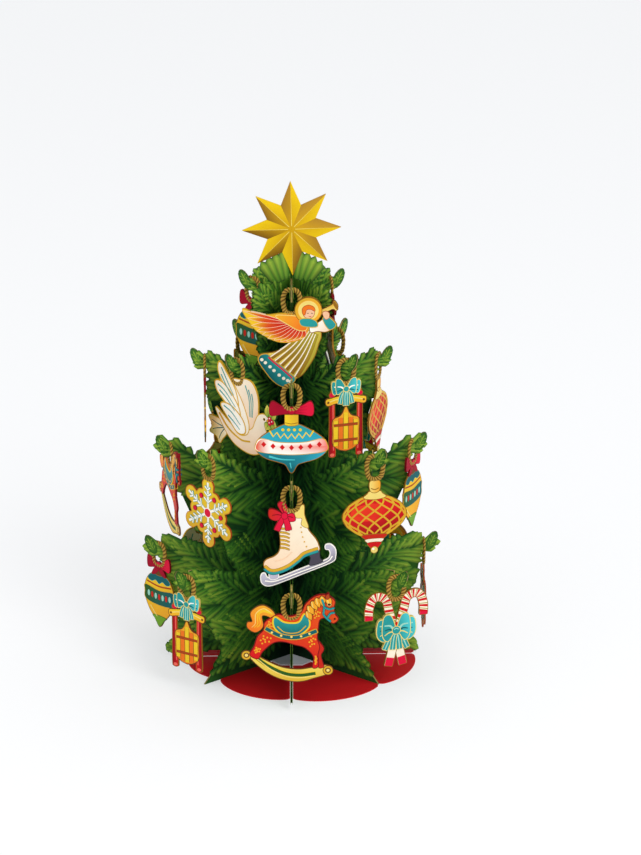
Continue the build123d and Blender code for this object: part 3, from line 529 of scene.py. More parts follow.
def caneArt():  # two crossed canes with slanting stripes, and a bow
    cane = {"width": 4.9, "stripes": 13}
    art = []
    for side in (-1, 1):
        path = openCurve([(side * 16.9, -24.6), (side * 16.8, -17.6), (side * 14.6, -11.6), (side * 10.6, -10.2),
                          (side * 6.4, -12.8), (side * 4.8, -18.6), (side * 2.6, -27), (side * -1.2, -41),
                          (side * -4.6, -55.4)], 14)
        lay(art, stroke(path, cane["width"], smooth=False), "cream", 0.4, "deepGold")
        t = np.gradient(path, axis=0)
        t /= np.linalg.norm(t, axis=1, keepdims=True)
        n = np.column_stack([-t[:, 1], t[:, 0]])
        for k in range(cane["stripes"]):  # slanting stripes: the right edge runs ahead of the left one
            i = int(k * (len(path) - 14) / cane["stripes"]) + 2
            w = cane["width"] / 2
            for ahead, wide, colour in ((2, 3, "scarlet"), (6, 1, "olive")):
                j = min(i + ahead, len(path) - 6)
                quad = np.array([path[j] + n[j] * w, path[j + wide] + n[j + wide] * w,
                                 path[j + wide - 2] - n[j + wide - 2] * w, path[j - 2] - n[j - 2] * w])
                lay(art, quad, colour)
        lay(art, stroke(path[:5], cane["width"] * 0.96, smooth=False), "crimson")
        lay(art, stroke(path[-6:], cane["width"] * 0.96, smooth=False), "crimson")
    for p in ([(1.2, -34), (4, -38), (7, -44.6)], [(0.6, -34), (1.6, -39), (2.2, -45)]):
        lay(art, pair(stroke(p, 2.8, -0.2)), "teal", 0.35, "paleGold")
        lay(art, pair(stroke(p, 0.7)), "mint")
    for r, dv in ((12, 0), (8.6, 3.4)):  # two layers of bow loops
        lobe = curve([(0.6, -31.6), (r * 0.4, -26.6 + dv), (r * 0.86, -25.4 + dv * 0.6), (r, -30.4),
                      (r * 0.94, -36.4), (r * 0.62, -39.2), (r * 0.3, -35.6)])
        lay(art, pair(lobe), "aqua", 0.45, "paleGold", fade=("teal", (r, -31), (1, -33)))
        lay(art, pair(stroke([(1.6, -32), (r * 0.45, -29.4), (r * 0.86, -29)], 1.5, 0.5)), "mint")
        lay(art, pair(stroke([(1.6, -33.4), (r * 0.5, -33.6), (r * 0.84, -35.4)], 0.9, 0.5)), "paleGold")
        lay(art, pair(stroke([(1.6, -32.8), (r * 0.5, -31.6), (r * 0.84, -32.2)], 1.1, 0.5)), "deepTeal")
    lay(art, oval(0, -32.6, 2.4), "teal", 0.4, "paleGold")
    lay(art, stroke([(-1.4, -32), (0, -31.4), (1.4, -32)], 0.6), "mint")
    return art


# node groups and materials
def newGroup(name, inputs, outputs):  # a shader group with its sockets made
    group = bpy.data.node_groups.new(name, "ShaderNodeTree")
    for label, kind, value in inputs:
        group.interface.new_socket(label, in_out="INPUT", socket_type=kind).default_value = value
    for label, kind in outputs:
        group.interface.new_socket(label, in_out="OUTPUT", socket_type=kind)
    return group, group.nodes.new("NodeGroupInput"), group.nodes.new("NodeGroupOutput")


def addNode(graph, kind, sets=(), links=()):  # a node with its values set and its inputs linked
    node = graph.nodes.new(kind)
    for name, value in sets:
        if isinstance(name, int) or name in node.inputs:
            node.inputs[name].default_value = value
        else:
            setattr(node, name, value)
    for name, socket in links:
        graph.links.new(socket, node.inputs[name])
    return node


def paperGrainGroup():  # pulp fibres: fine noise for the height, soft blotches for the tint
    group, gin, gout = newGroup("paperGrain", [("Fibre", "NodeSocketFloat", 1500.0),
                                               ("Depth", "NodeSocketFloat", 0.1)],
                                [("Tint", "NodeSocketFloat"), ("Height", "NodeSocketFloat")])
    at = addNode(group, "ShaderNodeTexCoord").outputs["Object"]
    fine = addNode(group, "ShaderNodeTexNoise", [("Detail", 4.0), ("Roughness", 0.65)],
                   [("Vector", at), ("Scale", gin.outputs["Fibre"])])
    blotch = addNode(group, "ShaderNodeTexNoise", [("Scale", 90.0), ("Detail", 3.0)], [("Vector", at)])
    mixed = addNode(group, "ShaderNodeMath", [("operation", "MULTIPLY_ADD"), (1, 0.5)],
                    [(0, fine.outputs["Fac"]), (2, blotch.outputs["Fac"])])
    centred = addNode(group, "ShaderNodeMath", [("operation", "SUBTRACT"), (1, 0.75)], [(0, mixed.outputs[0])])
    tint = addNode(group, "ShaderNodeMath", [("operation", "MULTIPLY_ADD"), (2, 1.0)],
                   [(0, centred.outputs[0]), (1, gin.outputs["Depth"])])
    group.links.new(tint.outputs[0], gout.inputs["Tint"])
    group.links.new(fine.outputs["Fac"], gout.inputs["Height"])
    return group


paperGrain = paperGrainGroup()


def startMaterial(name, depth, roughness, sheen):  # card with the paper grain as a fine bump
    material = bpy.data.materials.new(name)
    material.use_nodes = True
    t = material.node_tree
    bsdf = t.nodes["Principled BSDF"]
    bsdf.inputs["Roughness"].default_value = roughness
    bsdf.inputs["Specular IOR Level"].default_value = sheen
    grain = addNode(t, "ShaderNodeGroup", [("node_tree", paperGrain)])
    grain.inputs["Depth"].default_value = depth
    bump = addNode(t, "ShaderNodeBump", [("Strength", 0.12), ("Distance", 0.0002)],
                   [("Height", grain.outputs["Height"])])
    t.links.new(bump.outputs["Normal"], bsdf.inputs["Normal"])
    return material, t, bsdf, grain


def tinted(t, bsdf, colour, grain):  # colour times the grain's tint
    times = addNode(t, "ShaderNodeMix", [("data_type", "RGBA"), ("blend_type", "MULTIPLY")])
    times.inputs[0].default_value = 1.0
    t.links.new(colour, times.inputs[6])
    t.links.new(grain.outputs["Tint"], times.inputs[7])
    t.links.new(times.outputs[2], bsdf.inputs["Base Color"])


# printed ink from the mesh's own colours, foil in the alpha
def inkMaterial(name, depth, roughness, sheen, foilRoughness=0.34):
    material, t, bsdf, grain = startMaterial(name, depth, roughness, sheen)
    printed = addNode(t, "ShaderNodeAttribute", [("attribute_name", "ink")])
    tinted(t, bsdf, printed.outputs["Color"], grain)
    t.links.new(printed.outputs["Alpha"], bsdf.inputs["Metallic"])
    shine = addNode(t, "ShaderNodeMapRange", [("To Min", roughness), ("To Max", foilRoughness)],
                    [("Value", printed.outputs["Alpha"])])
    t.links.new(shine.outputs["Result"], bsdf.inputs["Roughness"])
    return material


def pineBaseMaterial():  # the ply under the needles: painted shade makes it black green at the axis, where the fins meet, moss outside, yellow green at the crown
    material, t, bsdf, grain = startMaterial("pineBase", 0.5, 0.62, 0.1)
    at = addNode(t, "ShaderNodeTexCoord").outputs["Object"]
    xyz = addNode(t, "ShaderNodeSeparateXYZ", [], [("Vector", at)])
    flat = addNode(t, "ShaderNodeCombineXYZ", [], [("X", xyz.outputs["X"]), ("Y", xyz.outputs["Y"])])
    radius = addNode(t, "ShaderNodeVectorMath", [("operation", "LENGTH")], [(0, flat.outputs[0])])
    streak = addNode(t, "ShaderNodeTexNoise", [("Scale", 160.0), ("Detail", 5.0), ("Distortion", 1.5)],
                     [("Vector", at)])
    # painted shade: the ply is black green by the axis, where the fins meet, and turns moss further out
    reach = addNode(t, "ShaderNodeMapRange", [("From Min", 0.004), ("From Max", 0.09)],
                    [("Value", radius.outputs["Value"])])
    blend = addNode(t, "ShaderNodeMath", [("operation", "MULTIPLY_ADD"), (1, 0.5)],
                    [(0, streak.outputs["Fac"]), (2, reach.outputs[0])])
    ramp = addNode(t, "ShaderNodeValToRGB", [], [("Fac", blend.outputs[0])])
    stops = ramp.color_ramp.elements
    stops[0].position, stops[0].color = 0.25, (*ink("#081F13")[:3], 1)
    stops[1].position, stops[1].color = 1.0, (*ink("#2A5A1C")[:3], 1)
    stops.new(0.65).color = (*ink("#14401F")[:3], 1)
    crown = addNode(t, "ShaderNodeMapRange", [("From Min", 0.196), ("From Max", 0.25)], [("Value", xyz.outputs["Z"])])
    crowned = addNode(t, "ShaderNodeMix", [("data_type", "RGBA")],
                      [(0, crown.outputs[0]), (6, ramp.outputs["Color"])])
    crowned.inputs[7].default_value = (*ink("#4E7F22")[:3], 1)
    tinted(t, bsdf, crowned.outputs[2], grain)
    return material


cardInk = inkMaterial("cardInk", 0.2, 0.45, 0.06)
needleInk = inkMaterial("needleInk", 0.26, 0.55, 0.12)
skirtInk = inkMaterial("skirtInk", 0.16, 0.58, 0.12)
pineBase = pineBaseMaterial()
print("materials ready")


# points in metres, colours per point
def addPiece(name, points, faces, colours, material, replaced=(), smooth=None):
    mesh = bpy.data.meshes.new(name)
    mesh.from_pydata(np.asarray(points).tolist(), [], faces)
    printed = mesh.attributes.new("ink", "FLOAT_COLOR", "POINT")
    printed.data.foreach_set("color", np.asarray(colours, np.float32).ravel())
    if smooth is not None:
        mesh.polygons.foreach_set("use_smooth", smooth)
    mesh.materials.append(material)
    mesh.update()
    piece = bpy.data.objects.new(name, mesh)
    bpy.context.scene.collection.objects.link(piece)
    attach(piece, "root")
    if replaced:
        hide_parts(*replaced)
    return piece


# hanging ornaments
card = {"half": 0.42, "step": 0.008, "ropeWide": 1.45, "ropeDeep": 0.8, "ropeTurns": 22}


def plates(art):  # each field is a plate: its outline on the front and on the back, joined round the rim
    points, faces, colours, start = [], [], [], 0
    for level, (outline, tint) in enumerate(art):
        ordered = facing(outline)
        tint = tint if ordered is outline else tint[::-1]
        n = len(ordered)
        half = card["half"] + level * card["step"]
        front = np.column_stack([ordered[:, 0], np.full(n, half), ordered[:, 1]])
        points += [front, front * np.array([1, -1, 1])]
        colours += [tint, tint]
        i = np.arange(n) + start
        j = np.roll(i, -1)
        faces += [i.tolist(), (i[::-1] + n).tolist()] + np.column_stack([i, i + n, j + n, j]).tolist()
        start += 2 * n
    return np.vstack(points), faces, np.vstack(colours)


def rope(offset):  # oval section carried round the loop, its radius and its ink waved by the strands' twist
    path = curve([(0, 1.45), (3.2, 0.5), (4.75, -3.3), (4.5, -8.6), (3.2, -12), (0, -13.2), (-3.2, -12), (-4.5, -8.6),
                  (-4.75, -3.3), (-3.2, 0.5)], 9)
    t = np.roll(path, -1, 0) - np.roll(path, 1, 0)
    t /= np.linalg.norm(t, axis=1, keepdims=True)
    n = np.column_stack([-t[:, 1], t[:, 0]])
    rings, sides = len(path), 12
    s = np.linspace(0, 2 * np.pi, rings, endpoint=False)[:, None]
    a = np.linspace(0, 2 * np.pi, sides, endpoint=False)[None, :]
    wave = np.cos(2 * a - card["ropeTurns"] * s)
    size = 1 + 0.1 * wave
    across = card["ropeWide"] * size * np.cos(a)
    points = np.stack([path[:, None, 0] + n[:, None, 0] * across, card["ropeDeep"] * size * np.sin(a),
                       path[:, None, 1] + n[:, None, 1] * across], -1).reshape(-1, 3)
    share = np.clip(0.42 + 0.45 * wave, 0, 1).reshape(-1, 1)
    colours = inks["cordDark"] * (1 - share) + inks["cordLight"] * share
    i = np.arange(rings)[:, None] * sides + np.arange(sides)[None, :]
    right, up = np.roll(i, -1, 1), np.roll(i, -1, 0)
    faces = np.stack([i, up, np.roll(up, -1, 1), right], -1).reshape(-1, 4) + offset
    return points, faces.tolist(), colours


arts = {
    "horse": horseArt, "skate": skateArt, "top_bauble": topBaubleArt, "angel": angelArt, "candy_canes": caneArt,
    "lattice_bauble": latticeArt, "sled": sledArt, "snowflake": snowflakeArt, "drop_bauble": dropBaubleArt,
    "dove": doveArt,
}
hangings = (  # design, fin, hook from the bottom up, turn on the hook
    ("horse", 0, 0, 0), ("skate", 0, 1, 0), ("top_bauble", 0, 2, 0), ("angel", 0, 3, 0),
    ("candy_canes", 1, 0, -35), ("lattice_bauble", 1, 1, -40), ("sled", 1, 2, -36),
    ("snowflake", 2, 0, 0), ("drop_bauble", 2, 1, -30), ("lattice_bauble", 2, 2, -20), ("skate", 2, 3, 11),
    ("horse", 3, 0, 0), ("sled", 3, 1, 0), ("snowflake", 3, 2, 0),
    ("angel", 4, 0, 0), ("candy_canes", 4, 1, 0), ("top_bauble", 4, 2, 0), ("drop_bauble", 4, 3, 0),
    ("dove", 5, 0, 0), ("lattice_bauble", 5, 1, 0), ("skate", 5, 2, 0),
    ("drop_bauble", 6, 0, 46), ("horse", 6, 1, 13), ("top_bauble", 6, 2, 0), ("drop_bauble", 6, 3, 50),
    ("sled", 7, 0, 22), ("snowflake", 7, 1, 6), ("dove", 7, 2, 8),
)
cards = {}
for design, draw in arts.items():
    flatPoints, flatFaces, flatColours = plates(draw())
    ropePoints, ropeFaces, ropeColours = rope(len(flatPoints))
    cards[design] = (np.vstack([flatPoints, ropePoints]), flatFaces + ropeFaces,
                     np.vstack([flatColours, ropeColours]), [False] * len(flatFaces) + [True] * len(ropeFaces))
for design, fin, level, turn in hangings:
    points, faces, colours, smooth = cards[design]
    azimuth = tree["azimuths"][fin]
    radius, height = hooksOf(fin)[level]
    axes = np.array([rightHand(azimuth + turn), heading(azimuth + turn), upright])
    placed = points @ axes + heading(azimuth) * radius + upright * height
    node = f"{design}_{tree['places'][fin]}_{tree['tiers'][level]}"
    addPiece("hung_" + node, placed * mm, faces, colours, cardInk, (node,), smooth)
print("ornaments hung:", len(hangings))


# fins: the CAD sheets stay as the printed plies, needles and cut edges lie on them
needles = {
    "spacing": 4.4, "most": 20, "length": 23.0, "width": 5.0, "rise": 0.2, "gap": 0.03, "layer": 0.006,
    "loose": 0.005, "overhang": 3.2, "clear": 3.2, "seed": 11,
    "spread": (50, 38),  # degrees off the bough at its root, and how far they close
    # light of the needles at the axis, kept low as painted shade where the fins meet, and what the edge adds
    "crown": (160, 70), "lowLight": (0.16, 0.56), "crownLight": (0.42, 0.26),
    "topBough": (26, 232), "topEdge": (27, 238),  # a short fin's top panel carries no ornament
    "leafLevel": 60,  # the hook leaves lie above all boughs
    # share of the length, of the half width
    "shape": ((0, 0), (0.35, -0.6), (0.35, 0.6), (0.84, -1), (0.84, 1), (1, 0), (0.35, 0), (0.84, 0)),
    "tint": (-0.5, -0.42, -0.18, -0.36, -0.12, 0.08, 0.08, 0.28),  # dark along one flank, lighter along the rib
    "tones": ("#071E12", "#123E20", "#285D20", "#4F8A2A", "#97B53C"),  # from the deepest valley to the brightest tip
}


def finFace(fin):  # triangles of a fin's right-hand ply as radius and height in mm
    mesh = nodes["fin_sheet_" + tree["places"][fin]].data
    mesh.calc_loop_triangles()
    at = np.zeros(len(mesh.vertices) * 3, np.float32)
    mesh.vertices.foreach_get("co", at)
    corner = np.zeros(len(mesh.loop_triangles) * 3, np.int32)
    mesh.loop_triangles.foreach_get("vertices", corner)
    at = at.reshape(-1, 3) / mm
    out, side = at @ heading(tree["azimuths"][fin]), at @ rightHand(tree["azimuths"][fin])
    corner = corner.reshape(-1, 3)
    keep = np.all((np.abs(side[corner] - tree["ply"]) < 0.03) & (out[corner] > -0.6), axis=1)
    return np.stack([out[corner[keep]], at[corner[keep]][..., 2]], -1)


def inside(points, triangles):  # a point is in a triangle when it lies on the same side of all three edges
    a, b, c = (triangles[None, :, k] for k in range(3))
    p = points[:, None]

    def side(q, r):
        return (r[..., 0] - q[..., 0]) * (p[..., 1] - q[..., 1]) - (r[..., 1] - q[..., 1]) * (p[..., 0] - q[..., 0])

    s = np.stack([side(a, b), side(b, c), side(c, a)])
    return np.any(np.all(s >= -1e-6, 0) | np.all(s <= 1e-6, 0), 1)


# boughs of each tier: short ones hang by the trunk, dark there from the painted shade, long ones run to its
# underside, middle and hook
def frondLines(fin):
    hooks = [*hooksOf(fin), needles["topBough"]] if fin % 2 else hooksOf(fin)
    # start, end, sag and size: first the foot
    rows = [(6, 44, 30, 6, 2, 0.9), (8, 36, 66, 30, 3, 1.0), (16, 20, 74, 7, 2, 0.9)]
    for number, (radius, height) in enumerate(hooks):
        gap = height - (hooks[number - 1][1] if number else 6)
        size = min(max(radius / 62, 0.6), 1)
        rows += [
            (4, height + 0.1 * gap, 7, height - 0.5 * gap, 0, 0.8 * size),
            (0.14 * radius, height - 0.2 * gap, 0.4 * radius, height - 0.86 * gap, -3, size),
            (0.06 * radius, height - 0.72 * gap, 0.78 * radius, height - 0.8 * gap, -3, size),
            (3, height - 0.16 * gap, 0.56 * radius, height + 0.1 * gap, -1, 0.9 * size),
            (0.08 * radius, height - 0.5 * gap, 0.9 * radius, height - 0.36 * gap, -5, size),
            (0.2 * radius, height - 0.42 * gap, 0.84 * radius, height + 4, 2, size),
            (0.48 * radius, height - 0.3 * gap, radius - 1, height - 1, -1, 0.85 * size),
        ]
    rows = np.array(rows, float)
    return rows[:, :2], rows[:, 2:4], rows[:, 4], rows[:, 5]


leaf = {"at": (4.7, 0.6), "half": (6.5, 2.85), "lean": 65, "points": 15, "lift": 0.3, "edge": ink("#2A5A1C"),
        "middle": ink("#5F9030")}
spray = {"fins": (2, 6), "lean": (8, 32), "blades": 4, "foot": 236, "length": 25, "width": 6.4, "light": 0.78}


def leafPads(fin):  # each hook's leaf tip: a fan from a lighter middle to an oval
    ring = oval(*leaf["at"], *leaf["half"], leaf["lean"], leaf["points"])
    flat = hooksOf(fin)[:, None] + np.vstack([ring, leaf["at"]])[None]
    lift = np.full(flat.shape[:2], tree["ply"] + leaf["lift"])
    tone = np.vstack([np.tile(leaf["edge"], (leaf["points"], 1)), leaf["middle"]])
    return flat, lift, np.broadcast_to(tone, flat.shape[:2] + (4,))


def leafBlades(fin):  # veins on the hook leaves and the bright spray: root, heading, length, width and light
    lean = np.radians(leaf["lean"])
    along = np.array([np.cos(lean), np.sin(lean)])
    base = hooksOf(fin) + np.array(leaf["at"]) - 6 * along
    one = np.ones((len(base), 1))
    rows = [np.hstack([base, one * along, one * (11, 0.9, 0.95)])]
    for share in (0.2, 0.4, 0.6):
        for way in (0.7, -0.7):
            ray = np.array([np.cos(lean + way), np.sin(lean + way)])
            rows.append(np.hstack([base + 12 * share * along, one * ray, one * (3, 0.7, 0.9)]))
    if fin in spray["fins"]:  # bright blades that rise in a V behind the star
        a = np.radians(np.linspace(*spray["lean"], spray["blades"]))
        rows.append(np.column_stack([0.8 + 9 * a, spray["foot"] - 6 * a, np.sin(a), np.cos(a),
                                     spray["length"] - 4 * a, np.full(len(a), spray["width"]),
                                     spray["light"] - 0.1 * a]))
    return np.vstack(rows)


def finNeedles(fin):  # needles leave each bough at an angle that closes towards its tip, like a feather's barbs
    rng = np.random.default_rng(needles["seed"] + fin)
    face = finFace(fin)
    start, end, sag, size = frondLines(fin)
    count, most = len(start), needles["most"]
    length = np.linalg.norm(end - start, axis=1)
    t = ((np.arange(most) + 0.6)[None, :] * needles["spacing"] * np.sqrt(size)[:, None] / length[:, None])[..., None]
    t = t + rng.normal(0, 0.006, t.shape)
    chord = (end - start)[:, None]
    bend = sag[:, None, None] * np.array([0, -1.0])
    root = start[:, None] + chord * t + bend * 4 * t * (1 - t)
    along = chord + bend * 4 * (1 - 2 * t)
    lean = np.arctan2(along[..., 1], along[..., 0])
    wideOpen, closing = needles["spread"]
    spread = np.radians(wideOpen - closing * np.clip(t[..., 0], 0, 1) ** 1.5)
    long = needles["length"] * size[:, None] * (0.6 + 0.45 * np.sin(np.pi * np.clip(t[..., 0], 0, 1) ** 0.8))
    long = long * rng.uniform(0.88, 1.1, t.shape[:2])
    bough, wide = (np.broadcast_to(x[:, None, None], t.shape) for x in (np.arange(count), needles["width"] * size))
    both = []
    for way in (1, -1):
        a = lean + way * spread + rng.normal(0, 0.03, lean.shape)
        both.append(np.concatenate([root, np.stack([np.cos(a), np.sin(a)], -1), long[..., None], wide, bough, t], -1))
    rows = np.stack(both, 2).reshape(-1, 8)
    rows = rows[rows[:, 7] < 1.01]
    rows = rows[inside(rows[:, :2], face)]
    # a needle that runs past the cut edge is shortened to its overhang, one that nears the floor above it
    for k in range(9):
        reach = np.maximum(rows[:, 4] - needles["overhang"], 0)[:, None]
        past = ~inside(rows[:, :2] + rows[:, 2:4] * reach, face)
        rows[past | (rows[:, 1] + rows[:, 3] * rows[:, 4] < needles["clear"]), 4] *= 0.8
    rows = rows[rows[:, 4] > 3]
    tip = rows[:, :2] + rows[:, 2:4] * rows[:, 4:5]
    hooks = [*hooksOf(fin), needles["topEdge"]] if fin % 2 else hooksOf(fin)
    outer = np.interp(tip[:, 1], [h for r, h in hooks], [r for r, h in hooks])
    out = np.clip(tip[:, 0] / outer, 0, 1.1)
    # the upper tiers are light to their middle
    crown = np.clip((tip[:, 1] - needles["crown"][0]) / needles["crown"][1], 0, 1)
    (low, lowEdge), (high, highEdge) = needles["lowLight"], needles["crownLight"]
    # painted shade: needles darken towards the axis, where the fins meet, and grow lighter out to the cut edge
    light = (low + lowEdge * out ** 1.2) * (1 - crown) + (high + highEdge * out) * crown
    light += rng.normal(0, 0.05, count)[rows[:, 6].astype(int)] + rng.normal(0, 0.06, len(rows))
    leaves = leafBlades(fin)
    rows = np.vstack([rows[:, :7], np.column_stack([leaves[:, :6], np.full(len(leaves), needles["leafLevel"])])])
    light = np.concatenate([light, leaves[:, 6]])
    shape = np.array(needles["shape"])
    cross = np.column_stack([-rows[:, 3], rows[:, 2]]) * (rows[:, 5:6] / 2)
    stem = rows[:, None, 2:4] * (rows[:, 4:5] * shape[:, 0])[..., None]
    flat = rows[:, None, :2] + stem + cross[:, None] * shape[None, :, 1:]
    ridge = (shape[:, 1] == 0) & (shape[:, 0] > 0) & (shape[:, 0] < 1)
    loose = rng.uniform(0, needles["loose"], (len(rows), 1))
    lift = tree["ply"] + needles["gap"] + needles["layer"] * rows[:, 6:7] + needles["rise"] * ridge[None, :] + loose
    tone = np.clip(light[:, None] + np.array(needles["tint"])[None, :], 0, 1) * 4
    tones = np.array([ink(c) for c in needles["tones"]])
    step = np.clip(tone.astype(int), 0, 3)
    share = (tone - step)[..., None]
    return flat, lift, tones[step] * (1 - share) + tones[step + 1] * share


edgeInk = {"print": ink("#2F4A1C"), "bare": ink("#B79B5A"), "half": 0.5, "out": 0.05}


def cutEdges(fin):  # every edge that one triangle alone uses becomes a strip across both plies, pushed out a hair
    face = finFace(fin)
    key = np.round(face * 100).astype(np.int64)
    code = key[..., 0] * 1000003 + key[..., 1]  # one whole number for each corner
    first, second = code, np.roll(code, -1, 1)
    pairCode = np.stack([np.minimum(first, second), np.maximum(first, second)], -1).reshape(-1, 2)
    index, counts = np.unique(pairCode, axis=0, return_index=True, return_counts=True)[1:]
    only = index[counts == 1]
    p, q, other = (np.roll(face, -k, 1).reshape(-1, 2)[only] for k in range(3))
    keep = np.minimum(p[:, 0], q[:, 0]) > 1.2
    p, q, other = p[keep], q[keep], other[keep]
    line = q - p
    out = np.column_stack([line[:, 1], -line[:, 0]]) / (np.linalg.norm(line, axis=1, keepdims=True) + 1e-9)
    out *= np.sign(np.sum(out * (p - other), axis=1, keepdims=True)) * edgeInk["out"]
    middle = (p + q) / 2
    near = np.min(np.linalg.norm(middle[:, None] - hooksOf(fin)[None], axis=2), axis=1)
    foot = np.clip((34 - middle[:, 1]) / 10, 0, 0.55 if fin else 0.0)
    pale = np.maximum(np.clip(1.6 - near / 7, 0, 1), foot)[:, None]  # bare card at the hooks and the foot
    return p + out, q + out, edgeInk["print"] * (1 - pale) + edgeInk["bare"] * pale


fins = [finNeedles(k) for k in range(finCount)]
edges = [cutEdges(k) for k in range(finCount)]
pads = [leafPads(k) for k in range(finCount)]
# triangles of a needle
blade = np.array([[0, 1, 6], [0, 6, 2], [1, 3, 7], [1, 7, 6], [6, 7, 4], [6, 4, 2], [3, 5, 7], [7, 5, 4]])
ring = np.arange(leaf["points"])
pad = np.column_stack([ring, np.roll(ring, -1), np.full(leaf["points"], leaf["points"])])
for k, place in enumerate(tree["places"]):
    nodes["fin_sheet_" + place].data.materials.clear()
    nodes["fin_sheet_" + place].data.materials.append(pineBase)
    points, faces, colours, start = [], [], [], 0
    for fin, way in ((k, 1), ((k + 1) % finCount, -1)):
        out, side = heading(tree["azimuths"][fin]), rightHand(tree["azimuths"][fin]) * way
        for (flat, lift, tone), corner in ((fins[fin], blade), (pads[fin], pad)):
            points.append((flat[..., :1] * out + flat[..., 1:] * upright + lift[..., None] * side).reshape(-1, 3))
            colours.append(tone.reshape(-1, 4))
            base = np.arange(len(flat))[:, None, None] * flat.shape[1] + start
            faces += (base + (corner[:, ::-1] if way < 0 else corner)[None]).reshape(-1, 3).tolist()
            start += flat.shape[0] * flat.shape[1]
    p, q, pale = edges[k]
    out, side = heading(tree["azimuths"][k]), rightHand(tree["azimuths"][k]) * edgeInk["half"]
    ends = [x[:, :1] * out + x[:, 1:] * upright for x in (p, q)]
    strip = np.stack([ends[0] - side, ends[1] - side, ends[1] + side, ends[0] + side], 1)
    points.append(strip.reshape(-1, 3))
    colours.append(np.repeat(pale, 4, axis=0))
    faces += (np.arange(len(strip) * 4).reshape(-1, 4) + start).tolist()
    addPiece("needles_" + place, np.vstack(points) * mm, faces, np.vstack(colours), needleInk)
print("needles laid:", sum(len(f[0]) for f in fins) * 2)


# skirt, lock plate and star
# the skirt's inside ink is a darker red, painted shade under the fins by the axis
skirt = {"inner": 12.0, "reaches": (60, 66, 73, 70, 68, 65, 61, 54), "bulge": 5.0, "gap": 0.9, "thick": 0.6,
         "steps": 40, "rows": 9, "outside": ink("#C5171E"), "inside": ink("#A81319")}
# a fan: share runs across the sector, row runs from the axis to the scallop
for k, place in enumerate(tree["places"]):
    span = (tree["azimuths"][(k + 1) % finCount] - tree["azimuths"][k]) % 360
    share = np.linspace(0, 1, skirt["steps"] + 1)
    row = np.linspace(0, 1, skirt["rows"])[:, None]
    corner = np.interp(share, (0, 1), (skirt["reaches"][k], skirt["reaches"][(k + 1) % finCount]))
    reach = skirt["inner"] + (corner + skirt["bulge"] * np.sin(np.pi * share) ** 0.5 - skirt["inner"]) * row
    inset = np.degrees(skirt["gap"] / reach)
    azimuth = np.radians(tree["azimuths"][k] + inset + (span - 2 * inset) * share)
    flat = np.stack([reach * np.sin(azimuth), -reach * np.cos(azimuth)], -1)
    high = np.full(reach.shape + (1,), skirt["thick"])
    top = np.concatenate([flat, high], -1)
    low = np.concatenate([flat, high * 0], -1)
    grid = np.arange(reach.size).reshape(reach.shape)
    a, b, c, d = grid[:-1, :-1].ravel(), grid[1:, :-1].ravel(), grid[1:, 1:].ravel(), grid[:-1, 1:].ravel()
    faces = np.column_stack([a, b, c, d]).tolist() + (np.column_stack([d, c, b, a]) + reach.size).tolist()
    rim = np.concatenate([grid[0, :-1], grid[:-1, -1], grid[-1, :0:-1], grid[:0:-1, 0]])
    faces += np.column_stack([rim, np.roll(rim, -1), np.roll(rim, -1) + reach.size, rim + reach.size]).tolist()
    # painted shade: the red darkens in towards the axis, under the fins
    fade = np.clip((reach - 16) / 40, 0, 1)[..., None]
    tone = (skirt["inside"] * (1 - fade) + skirt["outside"] * fade).reshape(-1, 4)
    addPiece("skirt_" + place, np.vstack([top.reshape(-1, 3), low.reshape(-1, 3)]) * mm, faces,
             np.vstack([tone, tone]), skirtInk, ("skirt_panel_" + place,))


def plainCard(name, code, roughness):  # unprinted card, its fibres a little darker
    material, t, bsdf, grain = startMaterial(name, 0.12, roughness, 0.3)
    shade = addNode(t, "ShaderNodeValToRGB", [], [("Fac", grain.outputs["Height"])])
    shade.color_ramp.elements[0].color = (*(ink(code)[:3] * 0.92), 1)
    shade.color_ramp.elements[1].color = (*ink(code)[:3], 1)
    tinted(t, bsdf, shade.outputs["Color"], grain)
    return material


nodes["lock_plate"].data.materials.clear()
nodes["lock_plate"].data.materials.append(plainCard("plateCard", "#C9CDD2", 0.5))

star = {"tip": 28.6, "waist": 15.2, "points": 8, "height": 272.0, "back": 0.5, "front": 1.5, "ridge": 1.0,
        "turn": 1.5, "azimuth": 2, "lit": ink("#E6C014"), "core": ink("#CB9C12"), "dark": ink("#7A5410"),
        "tan": ink("#B8892E"), "line": ink("#EFD664")}


def starTurns():  # direction of each point, from the right hand
    return np.radians(90 + star["turn"] + 360 / star["points"] * np.arange(star["points"]))


# two facets a point: the clockwise one is lit, the other runs from brown at the left to tan at the right
def starFacets():
    n = star["points"]
    turn = starTurns()
    waists = turn[:, None] + np.radians(180 / n) * np.array([-1, 1])
    tip = np.column_stack([np.cos(turn), np.sin(turn)]) * star["tip"]
    waist = np.stack([np.cos(waists), np.sin(waists)], -1) * star["waist"]
    centre = np.zeros((n, 2))
    front = np.stack([np.stack([centre, waist[:, 0], tip], 1), np.stack([centre, tip, waist[:, 1]], 1)], 1)
    lift = np.broadcast_to(np.array([[1.0, 0.0, 0.35], [1.0, 0.35, 0.0]]), (n, 2, 3)) * star["ridge"] + star["front"]
    right = (np.cos(turn - 0.4)[:, None] + 1) / 2
    shade = star["dark"] * (1 - right) + star["tan"] * right
    lit = np.broadcast_to(star["lit"], (n, 4))
    core = np.broadcast_to(star["core"], (n, 4))
    colours = np.stack([np.stack([core, lit, lit], 1), np.stack([core, shade, shade * 0.9], 1)], 1)
    return front.reshape(-1, 2), lift.reshape(-1), colours.reshape(-1, 4)


